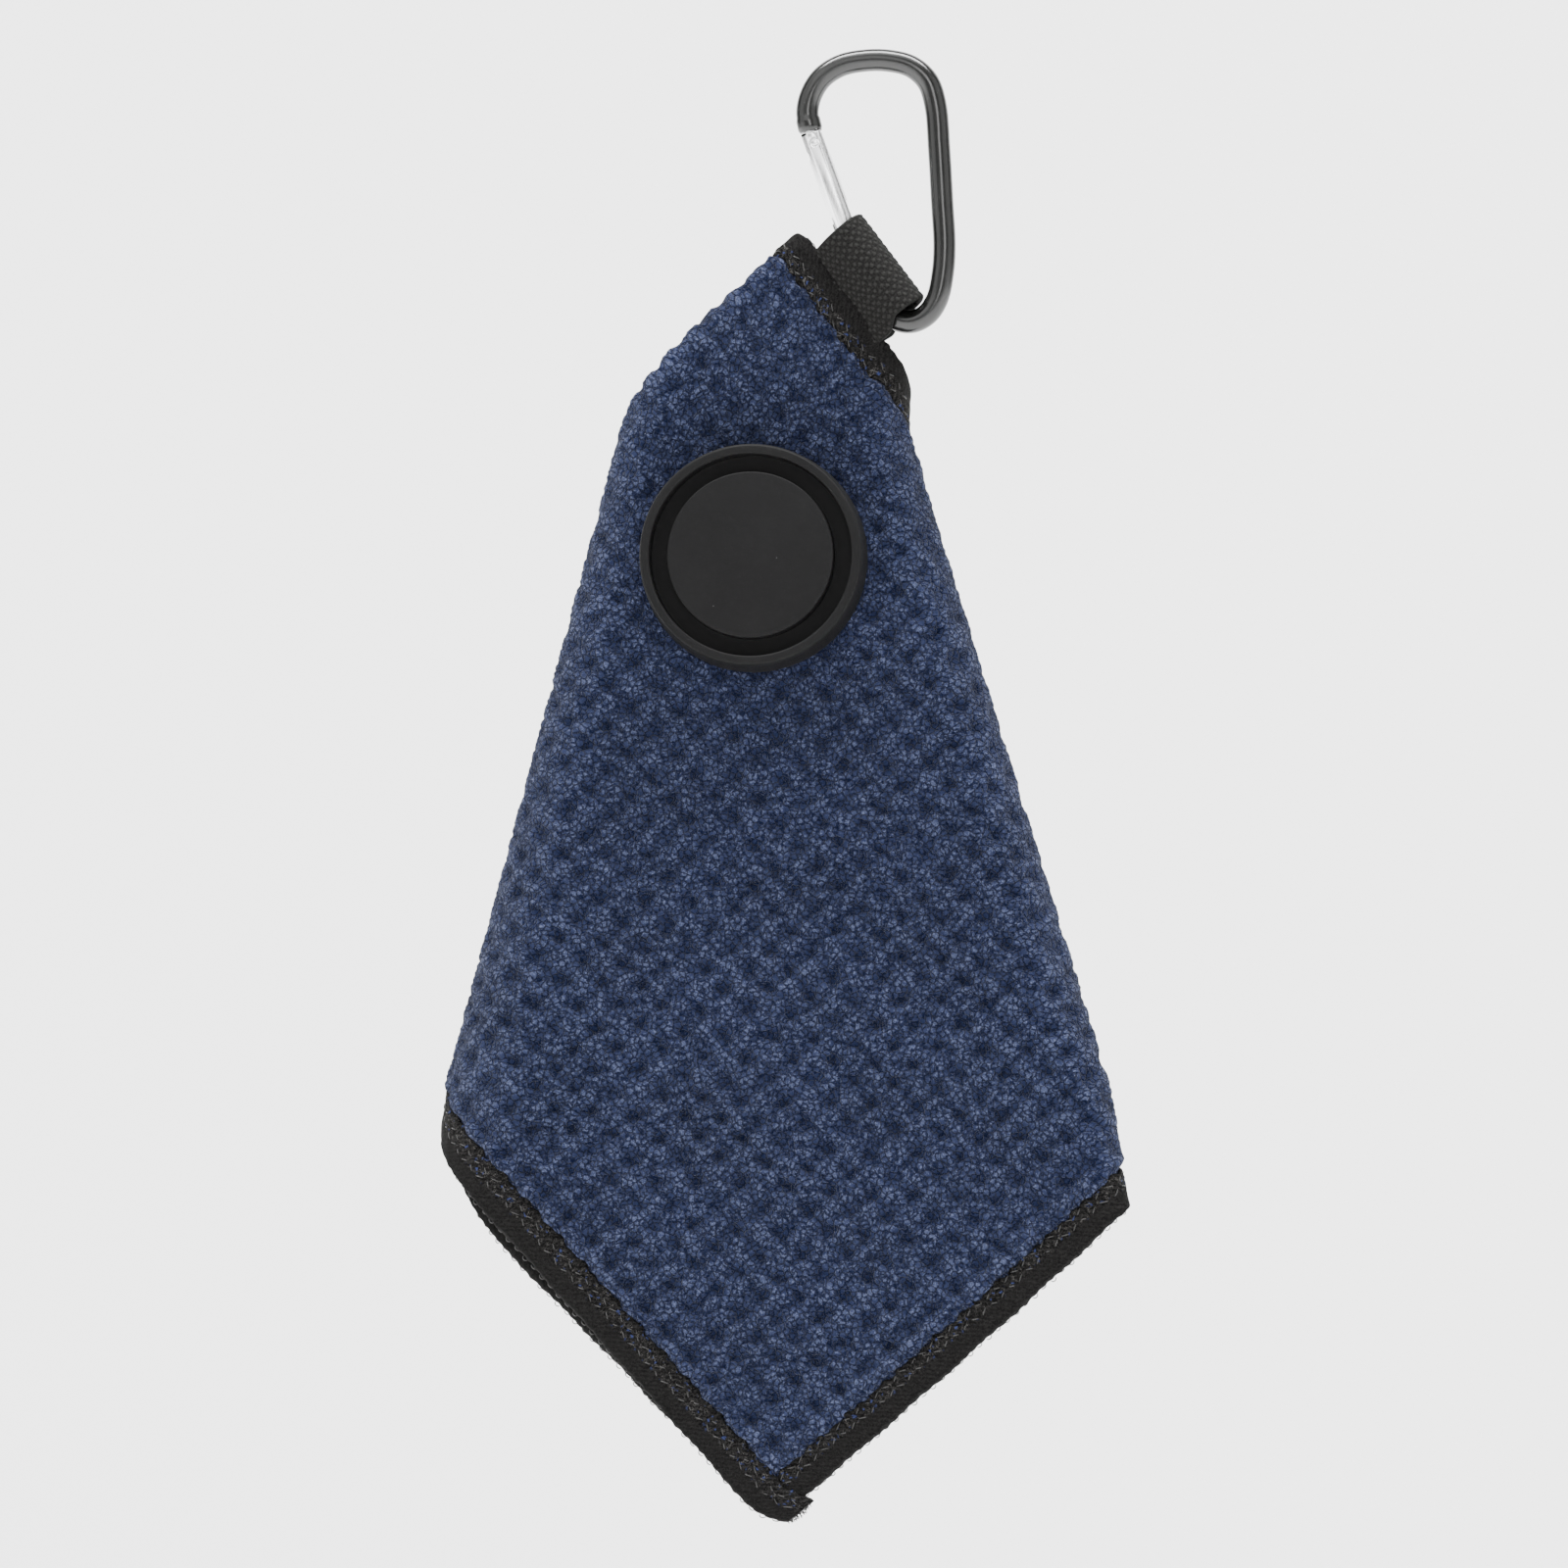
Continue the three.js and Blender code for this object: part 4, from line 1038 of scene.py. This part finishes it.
def turned_piece(name, profile, material, steps=144):
    """A turned shell about the Y axis, from (radius, y) points that start and end on the axis."""
    bpy.ops.object.select_all(action="DESELECT")
    bpy.ops.mesh.primitive_plane_add(size=2 * MM, location=(0, 0, 0))
    piece = bpy.context.active_object
    piece.name = piece.data.name = name
    bpy.ops.object.mode_set(mode="EDIT")
    bpy.ops.mesh.select_all(action="SELECT")
    bpy.ops.mesh.delete(type="VERT")
    bpy.ops.object.mode_set(mode="OBJECT")
    edges = [(i, i + 1) for i in range(len(profile) - 1)]
    piece.data.from_pydata([(r * MM, y * MM, 0) for r, y in profile], edges, [])
    bpy.ops.object.mode_set(mode="EDIT")
    bpy.ops.mesh.select_all(action="SELECT")
    bpy.ops.mesh.spin(steps=steps, angle=2 * math.pi, center=(0, 0, 0), axis=(0, 1, 0))
    bpy.ops.mesh.select_all(action="SELECT")
    bpy.ops.mesh.remove_doubles(threshold=2e-6)
    bpy.ops.mesh.normals_make_consistent(inside=False)
    bpy.ops.object.mode_set(mode="OBJECT")
    piece.data.materials.append(material)
    bpy.ops.object.shade_smooth_by_angle(angle=35 * DEG)
    return piece


def rounded(points, radius, steps=4):
    """The profile with its inner corners rounded by short arcs."""
    points = [np.array(p, float) for p in points]
    result = [points[0]]
    for before, corner, after in zip(points, points[1:], points[2:]):
        back, ahead = before - corner, after - corner
        cut = min(radius, 0.45 * np.linalg.norm(back), 0.45 * np.linalg.norm(ahead))
        start = corner + back / np.linalg.norm(back) * cut
        end = corner + ahead / np.linalg.norm(ahead) * cut
        for t in np.linspace(0, 1, steps + 1):
            result.append((1 - t) ** 2 * start + 2 * t * (1 - t) * corner + t ** 2 * end)
    result.append(points[-1])
    return [tuple(p) for p in result]


def add_pucks():
    """Both shells, the grip disc, and the magnets, keeper and cover plates inside."""
    low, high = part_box("front_shell")
    base, face = high.y / MM, low.y / MM
    wall, boss, groove, groove_floor, pocket_floor = 1.5, 14.6, 17.8, base - 4.6, base - 2.8
    front = turned_piece("front_puck_shell", rounded([
        (0, face), (boss, face), (boss - 0.05, groove_floor), (groove, groove_floor),
        (groove + 0.05, face + 0.1), (groove + 0.35, face), (PUCK_R - 0.75, face),
        (PUCK_R - 0.45, face + 0.6), (PUCK_R, base - 0.8), (PUCK_R, base), (PUCK_R - wall, base),
        (PUCK_R - wall, pocket_floor), (boss - wall, pocket_floor), (boss - wall, face + wall),
        (0, face + wall)], 0.28), SOFT_TOUCH)
    finish_piece(front, "front_puck", "soft_touch_black", "front_shell")
    pad_r, floor = 17.0, -1.5
    back = turned_piece("back_puck_shell", rounded([
        (0, floor), (pad_r + 0.3, floor), (pad_r + 0.3, -0.4), (PUCK_R - 0.3, -0.4), (PUCK_R, -1.0),
        (PUCK_R, -7.0), (PUCK_R - wall, -7.0), (PUCK_R - wall, floor - wall), (0, floor - wall)], 0.22),
        SOFT_TOUCH)
    finish_piece(back, "back_puck", "soft_touch_black", "back_shell")
    pad = turned_piece("grip_disc", rounded([(0, floor + 0.3), (pad_r, floor + 0.3), (pad_r, 0), (0, 0)], 0.3),
                       GRIP)
    finish_piece(pad, "back_puck", "grip_rubber", "back_grip_pad")
    for node, body, slot, material in (
            ("front_backing", "front_puck", "soft_touch_black", SOFT_TOUCH),
            ("front_magnet_disc", "front_puck", "magnet", NICKEL),
            ("front_keeper", "front_puck", "magnet", NICKEL),
            ("back_backing", "back_puck", "soft_touch_black", SOFT_TOUCH),
            ("back_magnet_disc", "back_puck", "magnet", NICKEL)):
        low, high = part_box(node)
        radius, y0, y1 = high.x / MM, low.y / MM, high.y / MM
        piece = turned_piece(node.replace("_disc", "") + "_piece",
                             rounded([(0, y0), (radius, y0), (radius, y1), (0, y1)], 0.2), material, 96)
        finish_piece(piece, body, slot, node)


add_pucks()


# ---- stage and light -----------------------------------------------------------------------------

# metres
FLOOR_Z, FLOOR_FRONT_Y, WALL_TOP_Z, PAPER_HALF = -0.32, -8.0, 8.5, 10.0
SWEEP_Y, SWEEP_R = 2.8, 1.5


def add_stage():
    """A sheet of studio paper: a floor in front and a wall behind, joined by a round sweep."""
    material, nodes, shader = new_material("studio_paper", roughness=0.9, Specular_IOR_Level=0.1)
    where = nodes.add("ShaderNodeTexCoord").outputs["Object"]
    tone = nodes.noise(where, 2.0, 2.0).outputs["Fac"]
    nodes.feed(shader, "Base Color", nodes.mix(tone, (0.90, 0.90, 0.90, 1), (0.93, 0.93, 0.93, 1)))
    profile = [(FLOOR_FRONT_Y, FLOOR_Z)]
    profile += [(SWEEP_Y + SWEEP_R * math.sin(a), FLOOR_Z + SWEEP_R * (1 - math.cos(a)))
                for a in np.linspace(0, math.pi / 2, 24)]
    profile += [(SWEEP_Y + SWEEP_R, WALL_TOP_Z)]
    points = [(x, y, z) for y, z in profile for x in (-PAPER_HALF, PAPER_HALF)]
    faces = [[2 * i, 2 * i + 1, 2 * i + 3, 2 * i + 2] for i in range(len(profile) - 1)]
    paper = make_mesh("studio_paper", np.array(points) / MM, faces, material)


def add_area_light(name, location, target, size, power):
    data = bpy.data.lights.new(name, "AREA")
    data.shape, data.size, data.size_y, data.energy = "RECTANGLE", size[0], size[1], power
    lamp = bpy.data.objects.new(name, data)
    lamp.location = location
    lamp.rotation_euler = (Vector(target) - Vector(location)).to_track_quat("-Z", "Y").to_euler()
    bpy.context.scene.collection.objects.link(lamp)


def add_lights():
    middle = (0.0, 0.0, -0.04)
    add_area_light("front_softbox", (-0.5, -1.6, 0.9), middle, (1.2, 0.9), 8.0)
    add_area_light("front_panel", (0.5, -3.0, 0.75), middle, (0.8, 1.2), 24.0)
    add_area_light("left_softbox", (-1.0, -0.6, 0.4), middle, (1.0, 1.5), 7.0)
    add_area_light("right_softbox", (1.1, -0.5, 0.2), middle, (1.0, 1.5), 5.5)
    add_area_light("top_softbox", (0.0, -0.6, 1.15), middle, (1.1, 0.5), 5.5)
    add_area_light("paper_light", (0.0, -0.5, 4.75), (0.0, 4.0, 0.0), (6.2, 1.2), 1450.0)
    world = bpy.data.worlds.new("studio")
    bpy.context.scene.world = world
    world.use_nodes = True
    world.node_tree.nodes["Background"].inputs["Color"].default_value = (1, 1, 1, 1)
    world.node_tree.nodes["Background"].inputs["Strength"].default_value = 0.25


add_stage()
add_lights()
